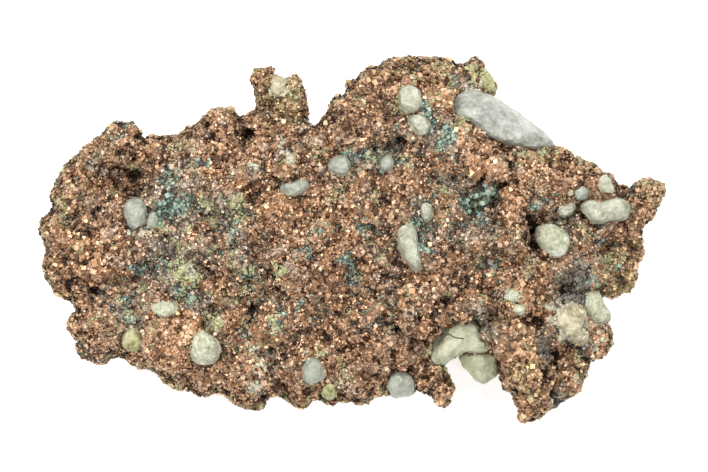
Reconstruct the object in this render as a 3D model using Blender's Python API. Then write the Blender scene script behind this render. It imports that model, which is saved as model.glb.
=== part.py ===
"""A native copper nugget: sugary copper grown in crowded lumps round chips of quartz and calcite.

Metres, +Z up. The nugget lies on its broad back, and the side that is shown faces up. The origin is on
the ground, under the middle of the nugget. Plan outlines are drawn in the photograph's pixels, with X to
the right and Y down, and PIXEL turns them into metres on the nugget.
"""

import math
import random

import bmesh
import bpy
import numpy as np
from mathutils import Euler, Matrix, Vector, noise

# Driving dimensions of the copper mass. BROADEST_HALF is what LEVEL_OFF leaves of its half width
WIDTH = 0.090
RIM_HEIGHT = 0.0095
FRONT_RISE = 0.0105
BACK_DROP = 0.0080
LEVEL_OFF = 0.020
BROADEST_HALF = 0.0158

# The drawing's scale and middle
OUTLINE_PIXELS_ACROSS = 629
PIXEL = WIDTH / OUTLINE_PIXELS_ACROSS
MIDDLE_PX = (351.5, 239.0)

# Lumps of crowded crystals on the skin of the mass. Jitter, sink, clearance and reach are shares
LUMP_SPACING = 0.0052
LUMP_JITTER = 0.4
LUMP_RADIUS = (0.0020, 0.0036)
LUMP_STRETCH = (0.85, 1.2)
LUMP_SINK = 0.75
LUMP_CLEARANCE = 1.15
ROW_STEP = LUMP_SPACING * math.sqrt(3) / 2
RIM_SPACING = 0.0034
RIM_RADIUS = (0.0015, 0.0025)
RIM_REACH = 1.06
MOST_REACH = 1.18
RIM_SCATTER = 0.0024
LEAST_RADIUS = 0.0007
SKIN_DEPTH = 0.0019
FULL_FROM = 0.5
CELL = 0.0005
VOXEL = 0.0006
COPPER_FACES = 5500
SEED = 29

# Fit of the chips in the copper
SOCKET_GAP = 0.00035
SOCKET_RISE = 0.006
MOST_MITRE = 2.0

# The silhouette of the copper, clockwise from the top of the left lobe
OUTLINE_PX = [
    (106, 133), (112, 122), (120, 123), (129, 121), (135, 125), (141, 130), (145, 139), (151, 134),
    (159, 137), (171, 132), (182, 134), (185, 128), (196, 122), (203, 119), (206, 110), (214, 108),
    (222, 107), (233, 108), (239, 117), (250, 112), (257, 108), (255, 98), (253, 86), (249, 80),
    (256, 69), (266, 68), (274, 66), (278, 76), (287, 78), (294, 73), (303, 74), (304, 86),
    (309, 98), (310, 110), (308, 120), (313, 126), (321, 121), (326, 112), (330, 105), (329, 96),
    (341, 95), (347, 89), (345, 80), (357, 79), (362, 70), (368, 66), (377, 69), (383, 60),
    (396, 56), (410, 55), (428, 55), (442, 59), (450, 56), (456, 65), (469, 60), (473, 55),
    (483, 60), (487, 71), (494, 86), (500, 103), (514, 119), (530, 131), (546, 144), (560, 146),
    (570, 152), (581, 159), (594, 160), (601, 171), (615, 174), (616, 184), (629, 188), (636, 178),
    (648, 177), (660, 181), (666, 191), (662, 202), (655, 212), (654, 220), (643, 228), (641, 238),
    (645, 248), (641, 259), (637, 272), (633, 292), (617, 296), (600, 300), (597, 312), (606, 324),
    (613, 333), (611, 345), (602, 357), (588, 361), (587, 373), (581, 388), (574, 397), (563, 403),
    (547, 414), (533, 420), (521, 423), (514, 411), (512, 393), (502, 389), (499, 374), (494, 360),
    (478, 366), (467, 364), (460, 352), (448, 356), (444, 366), (451, 378), (454, 388), (449, 404),
    (440, 412), (433, 405), (429, 393), (412, 388), (390, 389), (383, 397), (371, 399), (362, 408),
    (350, 403), (338, 404), (328, 409), (323, 399), (311, 400), (301, 409), (289, 402), (277, 395),
    (267, 399), (264, 411), (251, 409), (236, 407), (229, 398), (216, 393), (206, 397), (190, 390),
    (172, 389), (163, 379), (155, 370), (140, 369), (124, 360), (116, 357), (101, 366), (84, 361),
    (76, 350), (79, 338), (70, 331), (65, 320), (76, 310), (74, 299), (59, 297), (48, 280),
    (41, 268), (47, 255), (44, 238), (37, 228), (41, 216), (54, 211), (52, 198), (52, 186),
    (60, 172), (72, 158), (80, 150), (88, 144), (98, 138),
]

# Swells and hollows of the front: middle and half widths in pixels, turn in degrees, height in metres
FRONT_RELIEF = [
    ("left crown", 112, 146, 26, 18, 0, 0.0022),
    ("left flank", 72, 240, 26, 44, 0, 0.0012),
    ("left hollow", 131, 180, 20, 20, 0, -0.0062),
    ("lower left rise", 171, 341, 30, 28, 0, 0.0022),
    ("lower left pit", 98, 296, 12, 9, 35, -0.0036),
    ("tower foot pit", 250, 136, 11, 11, 20, -0.0042),
    ("shoulder pit", 212, 138, 9, 9, 0, -0.0030),
    ("blue green valley", 180, 212, 34, 17, 0, -0.0022),
    ("yellow green valley", 192, 283, 26, 22, -30, -0.0026),
    ("slit", 254, 314, 6, 20, -22, -0.0046),
    ("upper crown", 368, 104, 46, 28, 20, 0.0022),
    ("upper crack", 400, 138, 8, 12, 0, -0.0032),
    ("centre valley", 320, 196, 62, 20, 0, -0.0022),
    ("centre swell", 300, 262, 58, 30, 0, 0.0012),
    ("centre pit", 386, 235, 8, 8, 0, -0.0028),
    ("green hollow", 484, 204, 17, 14, -20, -0.0048),
    ("dark hollow", 532, 238, 9, 17, 0, -0.0046),
    ("middle ridge", 430, 300, 44, 26, 0, 0.0018),
    ("slab bay", 464, 338, 30, 18, 0, -0.0034),
    ("foot column", 523, 365, 19, 56, 8, 0.0036),
    ("column groove", 547, 352, 9, 34, 0, -0.0044),
    ("lower right hollow", 568, 285, 16, 16, 0, -0.0026),
    ("right plain", 612, 250, 30, 40, 0, -0.0026),
]

# Single large lumps of the front: middle in pixels, radius and how far the lump stands up, in metres
BOULDERS = [
    ("lower left boulder", 170, 344, 0.0038, 0.0026),
    ("boulder's shoulder", 192, 330, 0.0024, 0.0016),
    ("left upper lump", 104, 150, 0.0030, 0.0016),
    ("left middle lump", 66, 232, 0.0032, 0.0012),
    ("left lower lump", 92, 330, 0.0030, 0.0014),
    ("upper shoulder lump", 222, 122, 0.0030, 0.0014),
    ("tower head", 264, 80, 0.0024, 0.0016),
    ("tower shoulder", 292, 92, 0.0022, 0.0010),
    ("crown lump", 376, 86, 0.0034, 0.0016),
    ("crown shoulder", 352, 112, 0.0026, 0.0014),
    ("upper right lump", 436, 96, 0.0026, 0.0016),
    ("twin boulder", 494, 168, 0.0022, 0.0024),
    ("small boulder", 474, 163, 0.0017, 0.0018),
    ("round boulder", 512, 205, 0.0021, 0.0026),
    ("boulder foot", 512, 238, 0.0026, 0.0020),
    ("centre lump", 300, 270, 0.0034, 0.0012),
    ("middle ridge lump", 420, 312, 0.0030, 0.0016),
    ("lower middle lump", 352, 372, 0.0030, 0.0016),
    ("lower left shelf", 250, 372, 0.0032, 0.0014),
    ("column head", 518, 300, 0.0028, 0.0022),
    ("column middle", 512, 340, 0.0030, 0.0026),
    ("column lower", 530, 372, 0.0030, 0.0026),
    ("column foot", 531, 400, 0.0026, 0.0024),
    ("lower right lump", 596, 338, 0.0026, 0.0016),
    ("lower right foot", 566, 382, 0.0024, 0.0010),
    ("arm lump", 650, 192, 0.0024, 0.0016),
    ("right lump", 632, 270, 0.0026, 0.0010),
]

# Lobes that stand off the ground with both their faces, drawn in the same way
LIFTS = [
    ("left lobe", 80, 240, 50, 110, 0, 0.0012),
    ("tower", 280, 80, 40, 30, 0, 0.0020),
    ("right arm", 650, 195, 50, 40, 0, 0.0024),
    ("foot column", 530, 400, 45, 40, 0, 0.0030),
    ("hanging knob", 441, 400, 16, 26, 0, 0.0020),
]

# Swells of the underside that reach past the ground and are worn off flat there
BACK_RELIEF = [
    ("left foot", 134, 258, 46, 44, 0, -0.0060),
    ("upper foot", 376, 146, 44, 34, 0, -0.0044),
    ("right foot", 566, 238, 46, 44, 0, -0.0054),
    ("lower foot", 300, 334, 46, 34, 0, -0.0052),
    ("under the column", 520, 330, 26, 40, 0, -0.0014),
    ("back valley", 240, 210, 60, 20, 15, 0.0016),
    ("back pit", 430, 260, 26, 18, 0, 0.0022),
]

QUARTZ = (0.62, 0.64, 0.60)
CALCITE = (0.76, 0.77, 0.66)
GREENSTONE = (0.62, 0.65, 0.50)
EPIDOTE = (0.52, 0.50, 0.20)
COPPER = (0.50, 0.25, 0.16)

# Chips held in the copper: colour, how far they stand proud, how deep they sit, and their outline
CHIPS = {
    "quartz_shard": (QUARTZ, 0.0016, 0.0064, [
        (453, 101), (457, 114), (471, 121), (487, 135), (505, 143), (529, 148), (547, 151), (554, 146),
        (541, 132), (521, 117), (504, 105), (485, 95), (466, 91)]),
    "calcite_boulder": (CALCITE, 0.0010, 0.0042, [
        (401, 94), (401, 106), (408, 113), (417, 112), (423, 103), (420, 92), (413, 86), (405, 87)]),
    "calcite_pebble": (CALCITE, 0.0007, 0.0036, [
        (411, 118), (412, 127), (420, 136), (427, 133), (430, 126), (425, 117), (418, 116)]),
    "quartz_tablet": (QUARTZ, 0.0012, 0.0046, [
        (131, 202), (130, 213), (133, 224), (139, 230), (146, 227), (149, 216), (148, 205), (142, 197)]),
    "quartz_sliver": (QUARTZ, 0.0005, 0.0030, [
        (153, 217), (152, 226), (155, 232), (159, 225), (160, 216), (157, 212)]),
    "calcite_blade": (CALCITE, 0.0012, 0.0040, [
        (399, 231), (402, 246), (406, 257), (413, 265), (420, 273), (422, 265), (418, 251), (416, 238),
        (414, 225), (409, 220)]),
    "calcite_flake": (CALCITE, 0.0006, 0.0028, [
        (423, 203), (424, 214), (428, 222), (432, 215), (430, 205)]),
    "calcite_knob_right": (CALCITE, 0.0022, 0.0046, [
        (538, 229), (538, 239), (545, 248), (555, 257), (562, 254), (569, 245), (566, 237), (560, 229),
        (549, 225)]),
    "prehnite_slab": (GREENSTONE, 0.0009, 0.0044, [
        (578, 204), (586, 213), (592, 220), (600, 221), (612, 218), (624, 218), (628, 209), (625, 201),
        (613, 200), (600, 203), (588, 201)]),
    "prehnite_chip": (GREENSTONE, 0.0006, 0.0028, [
        (575, 193), (578, 198), (584, 197), (587, 192), (582, 188)]),
    "prehnite_wedge": (GREENSTONE, 0.0006, 0.0026, [
        (598, 187), (607, 192), (613, 193), (609, 183), (603, 175), (600, 179)]),
    "quartz_splinter": (QUARTZ, 0.0005, 0.0020, [
        (559, 212), (563, 215), (570, 210), (574, 205), (567, 206)]),
    "rock_arch": (GREENSTONE, 0.0010, 0.0052, [
        (438, 324), (436, 338), (430, 350), (436, 361), (444, 361), (455, 354), (468, 349), (484, 349),
        (495, 346), (486, 340), (482, 328), (480, 316), (465, 319), (450, 321)]),
    "rock_tooth": (GREENSTONE, 0.0000, 0.0048, [
        (462, 355), (468, 366), (474, 371), (478, 378), (484, 380), (498, 373), (497, 361), (493, 354),
        (478, 353)]),
    "calcite_crust": (CALCITE, 0.0008, 0.0034, [
        (551, 318), (560, 329), (572, 337), (582, 342), (588, 338), (580, 330), (581, 318), (584, 311),
        (574, 304), (563, 306)]),
    "calcite_knuckle": (CALCITE, 0.0010, 0.0046, [
        (588, 303), (587, 312), (592, 321), (602, 322), (609, 320), (610, 313), (602, 305), (599, 296),
        (595, 288), (588, 292)]),
    "calcite_knob_left": (CALCITE, 0.0020, 0.0042, [
        (197, 334), (197, 345), (194, 354), (201, 361), (210, 362), (218, 357), (222, 348), (218, 338),
        (210, 331), (205, 327)]),
    "calcite_cobble": (CALCITE, 0.0010, 0.0034, [
        (127, 338), (129, 345), (137, 349), (145, 346), (147, 338), (143, 331), (136, 327), (130, 331)]),
    "quartz_bar": (QUARTZ, 0.0010, 0.0030, [
        (155, 308), (162, 312), (171, 314), (179, 311), (184, 307), (179, 302), (168, 301), (159, 303)]),
    "quartz_lens": (QUARTZ, 0.0006, 0.0030, [
        (331, 166), (337, 173), (344, 176), (350, 172), (351, 164), (347, 158), (338, 158)]),
    "quartz_chip": (QUARTZ, 0.0005, 0.0024, [
        (384, 161), (384, 169), (391, 171), (393, 163), (390, 156)]),
    "quartz_twin": (QUARTZ, 0.0006, 0.0030, [
        (283, 190), (289, 195), (297, 195), (305, 192), (310, 186), (306, 181), (298, 184), (288, 185)]),
    "quartz_nodule": (QUARTZ, 0.0009, 0.0040, [
        (305, 364), (306, 376), (312, 382), (320, 378), (327, 375), (326, 366), (320, 356), (311, 355)]),
    "quartz_pebble": (QUARTZ, 0.0009, 0.0044, [
        (389, 383), (390, 390), (397, 394), (407, 394), (416, 390), (416, 383), (409, 375), (401, 370),
        (394, 375)]),
    "calcite_drop": (CALCITE, 0.0008, 0.0026, [
        (326, 385), (326, 392), (331, 396), (337, 391), (336, 384), (331, 381)]),
    "calcite_saddle": (CALCITE, 0.0002, 0.0034, [
        (273, 83), (274, 92), (281, 96), (287, 95), (286, 87), (286, 79), (278, 78)]),
    "calcite_grain_upper": (CALCITE, 0.0008, 0.0024, [
        (505, 296), (510, 299), (517, 297), (519, 290), (511, 290)]),
    "calcite_grain_lower": (CALCITE, 0.0008, 0.0026, [
        (513, 306), (516, 312), (521, 313), (525, 308), (522, 302), (516, 302)]),
    "epidote_crust": (EPIDOTE, 0.0000, 0.0036, [
        (480, 76), (484, 86), (490, 92), (496, 93), (493, 84), (488, 75), (484, 71)]),
}

# Shape of a chip: how wide its crest and its root are as shares of its belt, how it peaks, and how
# unevenly it is broken, as a share of its height at so many bumps a metre
CREST_SHARE = 0.72
ROOT_SHARE = 0.74
CREST_PEAK = 1.3
LEAST_PEAK = 0.0002
BELT_DROP = 0.0008
BREAK_SHARE = 0.35
BREAK_SCALE = 700


def plan(px, py):
    """A place on the drawing, in metres from the nugget's middle."""
    return (px - MIDDLE_PX[0]) * PIXEL, (MIDDLE_PX[1] - py) * PIXEL


OUTLINE = np.array([plan(*p) for p in OUTLINE_PX])


def inside(x, y):
    """True where the places lie inside the outline, by crossings of a ray towards -X."""
    found = np.zeros(np.shape(x), bool)
    for (ax, ay), (bx, by) in zip(OUTLINE, np.roll(OUTLINE, -1, axis=0)):
        if ay == by:
            continue
        crosses = (ay > y) != (by > y)
        found ^= crosses & (x < (bx - ax) * (y - ay) / (by - ay) + ax)
    return found


def edge_distance(x, y):
    """How far each place is from the nearest stretch of the outline."""
    least = np.full(np.shape(x), np.inf)
    for a, b in zip(OUTLINE, np.roll(OUTLINE, -1, axis=0)):
        along = b - a
        share = ((x - a[0]) * along[0] + (y - a[1]) * along[1]) / (along @ along)
        share = np.clip(share, 0, 1)
        least = np.minimum(least, np.hypot(x - a[0] - share * along[0], y - a[1] - share * along[1]))
    return least


class Blown:
    """The half thickness of a skin blown up inside the outline: as thick as wide in a narrow lobe, and
    levelled off towards LEVEL_OFF over the broad middle."""

    PASSES = 2600
    MARGIN = 4

    def __init__(self):
        low = OUTLINE.min(0) - self.MARGIN * CELL
        high = OUTLINE.max(0) + self.MARGIN * CELL
        self.xs = np.arange(low[0], high[0], CELL)
        self.ys = np.arange(low[1], high[1], CELL)
        x, y = np.meshgrid(self.xs, self.ys)
        self.mask = inside(x, y)
        height = np.zeros(x.shape)
        for _ in range(self.PASSES):
            spread = np.roll(height, 1, 0) + np.roll(height, -1, 0)
            spread += np.roll(height, 1, 1) + np.roll(height, -1, 1)
            height = np.where(self.mask, spread / 4 + CELL * CELL / 4, 0)
        swell = np.sqrt(2 * height)
        self.half = swell * LEVEL_OFF / np.sqrt(swell**2 + LEVEL_OFF**2)

    def at(self, x, y):
        """The half thickness at a place, read between the cells."""
        column = np.clip((np.asarray(x) - self.xs[0]) / CELL, 0, len(self.xs) - 1.001)
        row = np.clip((np.asarray(y) - self.ys[0]) / CELL, 0, len(self.ys) - 1.001)
        i, j = np.floor(row).astype(int), np.floor(column).astype(int)
        v, u = row - i, column - j
        near = self.half[i, j] * (1 - u) + self.half[i, j + 1] * u
        far = self.half[i + 1, j] * (1 - u) + self.half[i + 1, j + 1] * u
        return near * (1 - v) + far * v


BLOWN = Blown()


def relief(entries, x, y):
    """The summed height of the swells and hollows at a place."""
    total = np.zeros(np.shape(x))
    for _, px, py, half_x, half_y, turn, height in entries:
        cx, cy = plan(px, py)
        angle = math.radians(turn)
        along = (x - cx) * math.cos(angle) + (y - cy) * math.sin(angle)
        across = (y - cy) * math.cos(angle) - (x - cx) * math.sin(angle)
        spread = (along / (half_x * PIXEL)) ** 2 + (across / (half_y * PIXEL)) ** 2
        total = total + height * np.exp(-spread)
    return total


def fullness(half):
    """1 over the body of the mass, falling to 0 at its rim, so that relief fades out there."""
    share = np.clip(half / (FULL_FROM * BROADEST_HALF), 0, 1)
    return share * share * (3 - 2 * share)


def front(x, y):
    """Height of the front of the mass."""
    half = BLOWN.at(x, y)
    rise = FRONT_RISE * half / BROADEST_HALF
    return RIM_HEIGHT + rise + relief(LIFTS, x, y) + relief(FRONT_RELIEF, x, y) * fullness(half)


def back(x, y):
    """Height of the underside of the mass."""
    half = BLOWN.at(x, y)
    drop = BACK_DROP * half / BROADEST_HALF
    return RIM_HEIGHT - drop + relief(LIFTS, x, y) + relief(BACK_RELIEF, x, y) * fullness(half)


def new_object(name, bm, colour, metallic, roughness):
    """A named object from a bmesh, with its own material."""
    mesh = bpy.data.meshes.new(name)
    bm.to_mesh(mesh)
    bm.free()
    material = bpy.data.materials.new(name)
    material.use_nodes = True
    shader = material.node_tree.nodes["Principled BSDF"]
    shader.inputs["Base Color"].default_value = (*colour, 1)
    shader.inputs["Metallic"].default_value = metallic
    shader.inputs["Roughness"].default_value = roughness
    mesh.materials.append(material)
    made = bpy.data.objects.new(name, mesh)
    bpy.context.scene.collection.objects.link(made)
    return made


def add_core(bm):
    """The heart of the mass: its front and underside, drawn in by the depth of the lumpy skin."""
    x, y = np.meshgrid(BLOWN.xs, BLOWN.ys)
    half = BLOWN.at(x, y)
    keep = BLOWN.mask & (edge_distance(x, y) > SKIN_DEPTH)
    top, bottom = front(x, y) - SKIN_DEPTH, back(x, y) + SKIN_DEPTH
    keep &= top > bottom + CELL
    tops, bottoms = {}, {}
    for i, j in zip(*np.nonzero(keep)):
        tops[i, j] = bm.verts.new((x[i, j], y[i, j], top[i, j]))
        bottoms[i, j] = bm.verts.new((x[i, j], y[i, j], bottom[i, j]))
    cells = {(i, j) for i, j in tops if {(i + 1, j), (i, j + 1), (i + 1, j + 1)} <= tops.keys()}
    for i, j in cells:
        ring = [(i, j), (i, j + 1), (i + 1, j + 1), (i + 1, j)]
        bm.faces.new([tops[c] for c in ring])
        bm.faces.new([bottoms[c] for c in reversed(ring)])
        beyond = [(i - 1, j), (i, j + 1), (i + 1, j), (i, j - 1)]
        for a, b, cell in zip(ring, ring[1:] + ring[:1], beyond):
            if cell not in cells:
                bm.faces.new([tops[b], tops[a], bottoms[a], bottoms[b]])


def unit_ball():
    """The corners and faces of a round ball of radius 1, which every lump is drawn from."""
    bm = bmesh.new()
    bmesh.ops.create_icosphere(bm, subdivisions=2, radius=1)
    corners = [v.co.copy() for v in bm.verts]
    faces = [[v.index for v in face.verts] for face in bm.faces]
    bm.free()
    return corners, faces


BALL = unit_ball()


def add_lump(bm, rng, centre, radius):
    """One lump: a ball drawn out a little and turned at random."""
    turn = Euler([rng.uniform(0, math.tau) for _ in range(3)]).to_matrix()
    stretch = Matrix.Diagonal([radius * rng.uniform(*LUMP_STRETCH) for _ in range(3)])
    shape = turn @ stretch
    corners = [bm.verts.new(centre + shape @ corner) for corner in BALL[0]]
    for face in BALL[1]:
        bm.faces.new([corners[i] for i in face])


def fitted(radius, x, y):
    """The radius, or less where the outline is much nearer than that."""
    return min(radius, float(edge_distance(x, y)) * MOST_REACH)


def add_skin_lumps(bm, rng):
    """Lumps crowded over the front and the underside, in staggered rows."""
    low, high = OUTLINE.min(0), OUTLINE.max(0)
    rows = int((high[1] - low[1]) / ROW_STEP) + 1
    columns = int((high[0] - low[0]) / LUMP_SPACING) + 2
    for row in range(rows):
        for column in range(columns):
            for surface, out in ((front, 1), (back, -1)):
                x = low[0] + (column + 0.5 * (row % 2)) * LUMP_SPACING
                y = low[1] + row * ROW_STEP
                x += rng.uniform(-LUMP_JITTER, LUMP_JITTER) * LUMP_SPACING
                y += rng.uniform(-LUMP_JITTER, LUMP_JITTER) * LUMP_SPACING
                radius = rng.uniform(*LUMP_RADIUS)
                if not inside(x, y) or edge_distance(x, y) < LUMP_CLEARANCE * radius:
                    continue
                z = float(surface(x, y)) - out * LUMP_SINK * radius
                add_lump(bm, rng, Vector((x, y, z)), radius)


def add_boulders(bm, rng):
    """The single large lumps, each standing up out of the front."""
    for _, px, py, radius, height in BOULDERS:
        x, y = plan(px, py)
        radius = fitted(radius, x, y)
        add_lump(bm, rng, Vector((x, y, float(front(x, y)) + height - radius)), radius)


def add_rim_lumps(bm, rng):
    """Lumps that touch the outline from inside and carry the nugget's silhouette."""
    for a, b in zip(OUTLINE, np.roll(OUTLINE, -1, axis=0)):
        length = float(np.hypot(*(b - a)))
        inward = RIM_REACH * np.array((b[1] - a[1], a[0] - b[0])) / length
        steps = max(1, round(length / RIM_SPACING))
        for step in range(steps):
            radius = rng.uniform(*RIM_RADIUS)
            x, y = a + (b - a) * step / steps + inward * radius
            radius = fitted(radius, x, y)
            if not inside(x, y) or radius < LEAST_RADIUS:
                continue
            middle = (float(front(x, y)) + float(back(x, y))) / 2
            reach = max(0.0, float(front(x, y)) - middle - radius)
            for _ in range(2):
                z = middle + rng.uniform(-1, 1) * min(RIM_SCATTER, reach)
                add_lump(bm, rng, Vector((x, y, z)), radius)


def chip_rings(outline_px, proud, depth):
    """The crest, belt and root of a chip as rings of points, and the peak of its crest."""
    points = np.array([plan(*p) for p in outline_px])
    centre = points.mean(0)
    area = sum(a[0] * b[1] - b[0] * a[1] for a, b in zip(points, np.roll(points, -1, axis=0))) / 2
    if area < 0:
        points = points[::-1]
    level = float(front(*centre))

    def lifted(ring, height):
        """The ring at a height over a surface half way between level ground and the front."""
        found = []
        for x, y in ring:
            unevenness = 1 + BREAK_SHARE * noise.noise(Vector((x, y, depth)) * BREAK_SCALE)
            ground = (level + float(front(x, y))) / 2
            found.append(Vector((x, y, ground + height * unevenness)))
        return found

    crest = lifted(centre + (points - centre) * CREST_SHARE, proud)
    belt = lifted(points, -BELT_DROP)
    floor = level - depth
    root = [Vector((x, y, floor)) for x, y in centre + (points - centre) * ROOT_SHARE]
    least = sum(p.z for p in crest) / len(crest) + LEAST_PEAK
    peak = Vector((centre[0], centre[1], max(least, level + proud * CREST_PEAK)))
    return crest, belt, root, peak


def chip_shape(outline_px, proud, depth):
    """One chip: a faceted crest over a belt, drawn in again to its root."""
    bm = bmesh.new()
    crest, belt, root, peak = chip_rings(outline_px, proud, depth)
    rings = [[bm.verts.new(p) for p in ring] for ring in (crest, belt, root)]
    top = bm.verts.new(peak)
    count = len(crest)
    for i in range(count):
        k = (i + 1) % count
        bm.faces.new((rings[0][i], rings[0][k], top))
        bm.faces.new((rings[1][i], rings[1][k], rings[0][k], rings[0][i]))
        bm.faces.new((rings[2][i], rings[2][k], rings[1][k], rings[1][i]))
    bm.faces.new(list(reversed(rings[2])))
    bmesh.ops.triangulate(bm, faces=bm.faces[:])
    return bm


def grow(bm, distance):
    """Every face moved outwards by about the distance."""
    bm.normal_update()
    moves = [v.normal * distance * min(MOST_MITRE, v.calc_shell_factor()) for v in bm.verts]
    for v, move in zip(bm.verts, moves):
        v.co += move


def make_sockets(chips):
    """The cutter: every chip grown by the gap and carried up into the open, and the ground below."""
    cutter = bmesh.new()
    for chip in chips:
        swollen = bmesh.new()
        swollen.from_mesh(chip.data)
        grow(swollen, SOCKET_GAP)
        swollen.verts.ensure_lookup_table()
        *walls, peak = swollen.verts
        count = len(walls) // 3
        for crest, belt in zip(walls[:count], walls[count:2 * count]):
            crest.co = belt.co + Vector((0, 0, SOCKET_RISE))
        peak.co.z += SOCKET_RISE
        joined = bpy.data.meshes.new("socket")
        swollen.to_mesh(joined)
        swollen.free()
        cutter.from_mesh(joined)
        bpy.data.meshes.remove(joined)
    ground = Matrix.Translation((0, 0, -WIDTH / 4)) @ Matrix.Diagonal((2 * WIDTH, 2 * WIDTH, WIDTH / 2, 1))
    bmesh.ops.create_cube(cutter, size=1, matrix=ground)
    made = new_object("socket_cutter", cutter, COPPER, 0, 0.5)
    made.hide_render = True
    made.display_type = "WIRE"
    return made


def make_copper(cutter):
    """The copper: core and lumps melted into one skin, thinned, and cut for the chips and the ground."""
    rng = random.Random(SEED)
    bm = bmesh.new()
    add_core(bm)
    add_skin_lumps(bm, rng)
    add_boulders(bm, rng)
    add_rim_lumps(bm, rng)
    copper = new_object("copper_mass", bm, COPPER, 0.85, 0.45)
    melt = copper.modifiers.new("melt", "REMESH")
    melt.mode = "VOXEL"
    melt.voxel_size = VOXEL
    thin = copper.modifiers.new("thin", "DECIMATE")
    bpy.context.view_layer.update()
    thin.ratio = 1.0
    graph = bpy.context.evaluated_depsgraph_get()
    mesh = copper.evaluated_get(graph).to_mesh()
    mesh.calc_loop_triangles()
    thin.ratio = COPPER_FACES / len(mesh.loop_triangles)
    cut = copper.modifiers.new("sockets", "BOOLEAN")
    cut.operation = "DIFFERENCE"
    cut.object = cutter
    cut.use_self = True
    return copper


def bounds(objects):
    """Lowest and highest corner of the objects as evaluated."""
    graph = bpy.context.evaluated_depsgraph_get()
    corners = []
    for made in objects:
        seen = made.evaluated_get(graph)
        corners += [seen.matrix_world @ v.co for v in seen.to_mesh().vertices]
        seen.to_mesh_clear()
    return np.min(corners, axis=0), np.max(corners, axis=0)


def main():
    for old in list(bpy.data.objects):
        bpy.data.objects.remove(old)
    chips = []
    for name, (colour, proud, depth, outline_px) in CHIPS.items():
        chips.append(new_object(name, chip_shape(outline_px, proud, depth), colour, 0, 0.4))
    cutter = make_sockets(chips)
    nugget = [make_copper(cutter), *chips]
    middle = bpy.data.objects.new("nugget", None)
    bpy.context.scene.collection.objects.link(middle)
    for made in (*nugget, cutter):
        made.parent = middle
    bpy.context.view_layer.update()
    low, high = bounds(nugget)
    middle.location = (-(low[0] + high[0]) / 2, -(low[1] + high[1]) / 2, 0)


main()
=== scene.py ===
import math

import bmesh
import bpy
import numpy as np
from mathutils import Matrix, Vector, noise
from mathutils.bvhtree import BVHTree
from mathutils.kdtree import KDTree


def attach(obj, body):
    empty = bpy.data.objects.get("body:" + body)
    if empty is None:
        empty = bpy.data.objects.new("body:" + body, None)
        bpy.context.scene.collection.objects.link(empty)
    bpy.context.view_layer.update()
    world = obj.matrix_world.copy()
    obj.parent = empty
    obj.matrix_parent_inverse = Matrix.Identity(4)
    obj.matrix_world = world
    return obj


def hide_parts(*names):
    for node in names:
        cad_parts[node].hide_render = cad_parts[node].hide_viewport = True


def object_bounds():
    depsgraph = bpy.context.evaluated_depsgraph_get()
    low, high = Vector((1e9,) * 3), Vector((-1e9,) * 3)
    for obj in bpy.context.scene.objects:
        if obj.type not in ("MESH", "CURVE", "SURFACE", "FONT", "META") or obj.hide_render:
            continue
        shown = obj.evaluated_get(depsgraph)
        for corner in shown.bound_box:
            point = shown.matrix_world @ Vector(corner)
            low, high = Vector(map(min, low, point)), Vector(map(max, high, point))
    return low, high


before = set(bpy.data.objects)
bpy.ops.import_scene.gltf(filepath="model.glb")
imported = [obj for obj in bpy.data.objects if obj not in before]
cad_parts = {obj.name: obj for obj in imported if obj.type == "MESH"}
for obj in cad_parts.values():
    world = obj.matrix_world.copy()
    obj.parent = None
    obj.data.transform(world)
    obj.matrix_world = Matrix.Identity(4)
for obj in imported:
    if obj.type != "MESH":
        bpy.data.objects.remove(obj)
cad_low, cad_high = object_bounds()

# The view. The nugget lies on its back on white, and the camera looks straight down on it. A pixel of
# the photograph is a real length at the height of the nugget's outline, where its length is known.
LENGTH_PX = 629
MIDDLE_PX = (352.5, 239.3)
FRAME_PX = (708, 472)
PX = (cad_high.x - cad_low.x) / LENGTH_PX
OUTLINE_HEIGHT = 0.0095
LENS, SENSOR = 300, 36


def spot(px, py):
    """A place in the photograph, in metres from the nugget's middle."""
    return (px - MIDDLE_PX[0]) * PX, (MIDDLE_PX[1] - py) * PX


camera = bpy.data.objects.new("camera", bpy.data.cameras.new("camera"))
camera.data.lens = LENS
camera.data.sensor_width = SENSOR
reach = FRAME_PX[0] * PX * LENS / SENSOR
camera.location = (*spot(FRAME_PX[0] / 2, FRAME_PX[1] / 2), OUTLINE_HEIGHT + reach)
camera.data.clip_start = 0.01
camera.data.clip_end = 10
bpy.context.scene.collection.objects.link(camera)
bpy.context.scene.camera = camera

# The table: a plain white sheet, lit as a light tent lights it. Four broad soft lights stand round the
# camera, and three small ones make the crystals sparkle. The gap straight overhead stays dark, so that
# the faces that look up don't wash out.
TABLE_HALF = 3.0
bpy.ops.object.select_all(action="DESELECT")
bpy.ops.mesh.primitive_plane_add(size=2 * TABLE_HALF, location=(0, 0, 0))
table = bpy.context.object
table.name = "table"
table_white = bpy.data.materials.new("table_white")
table_white.use_nodes = True
table_shader = table_white.node_tree.nodes["Principled BSDF"]
table_shader.inputs["Base Color"].default_value = (0.93, 0.93, 0.93, 1)
table_shader.inputs["Roughness"].default_value = 0.9
table_shader.inputs["Specular IOR Level"].default_value = 0.0
table_shader.inputs["Emission Color"].default_value = (1, 1, 1, 1)
table_shader.inputs["Emission Strength"].default_value = 0.50
table.data.materials.append(table_white)

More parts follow.
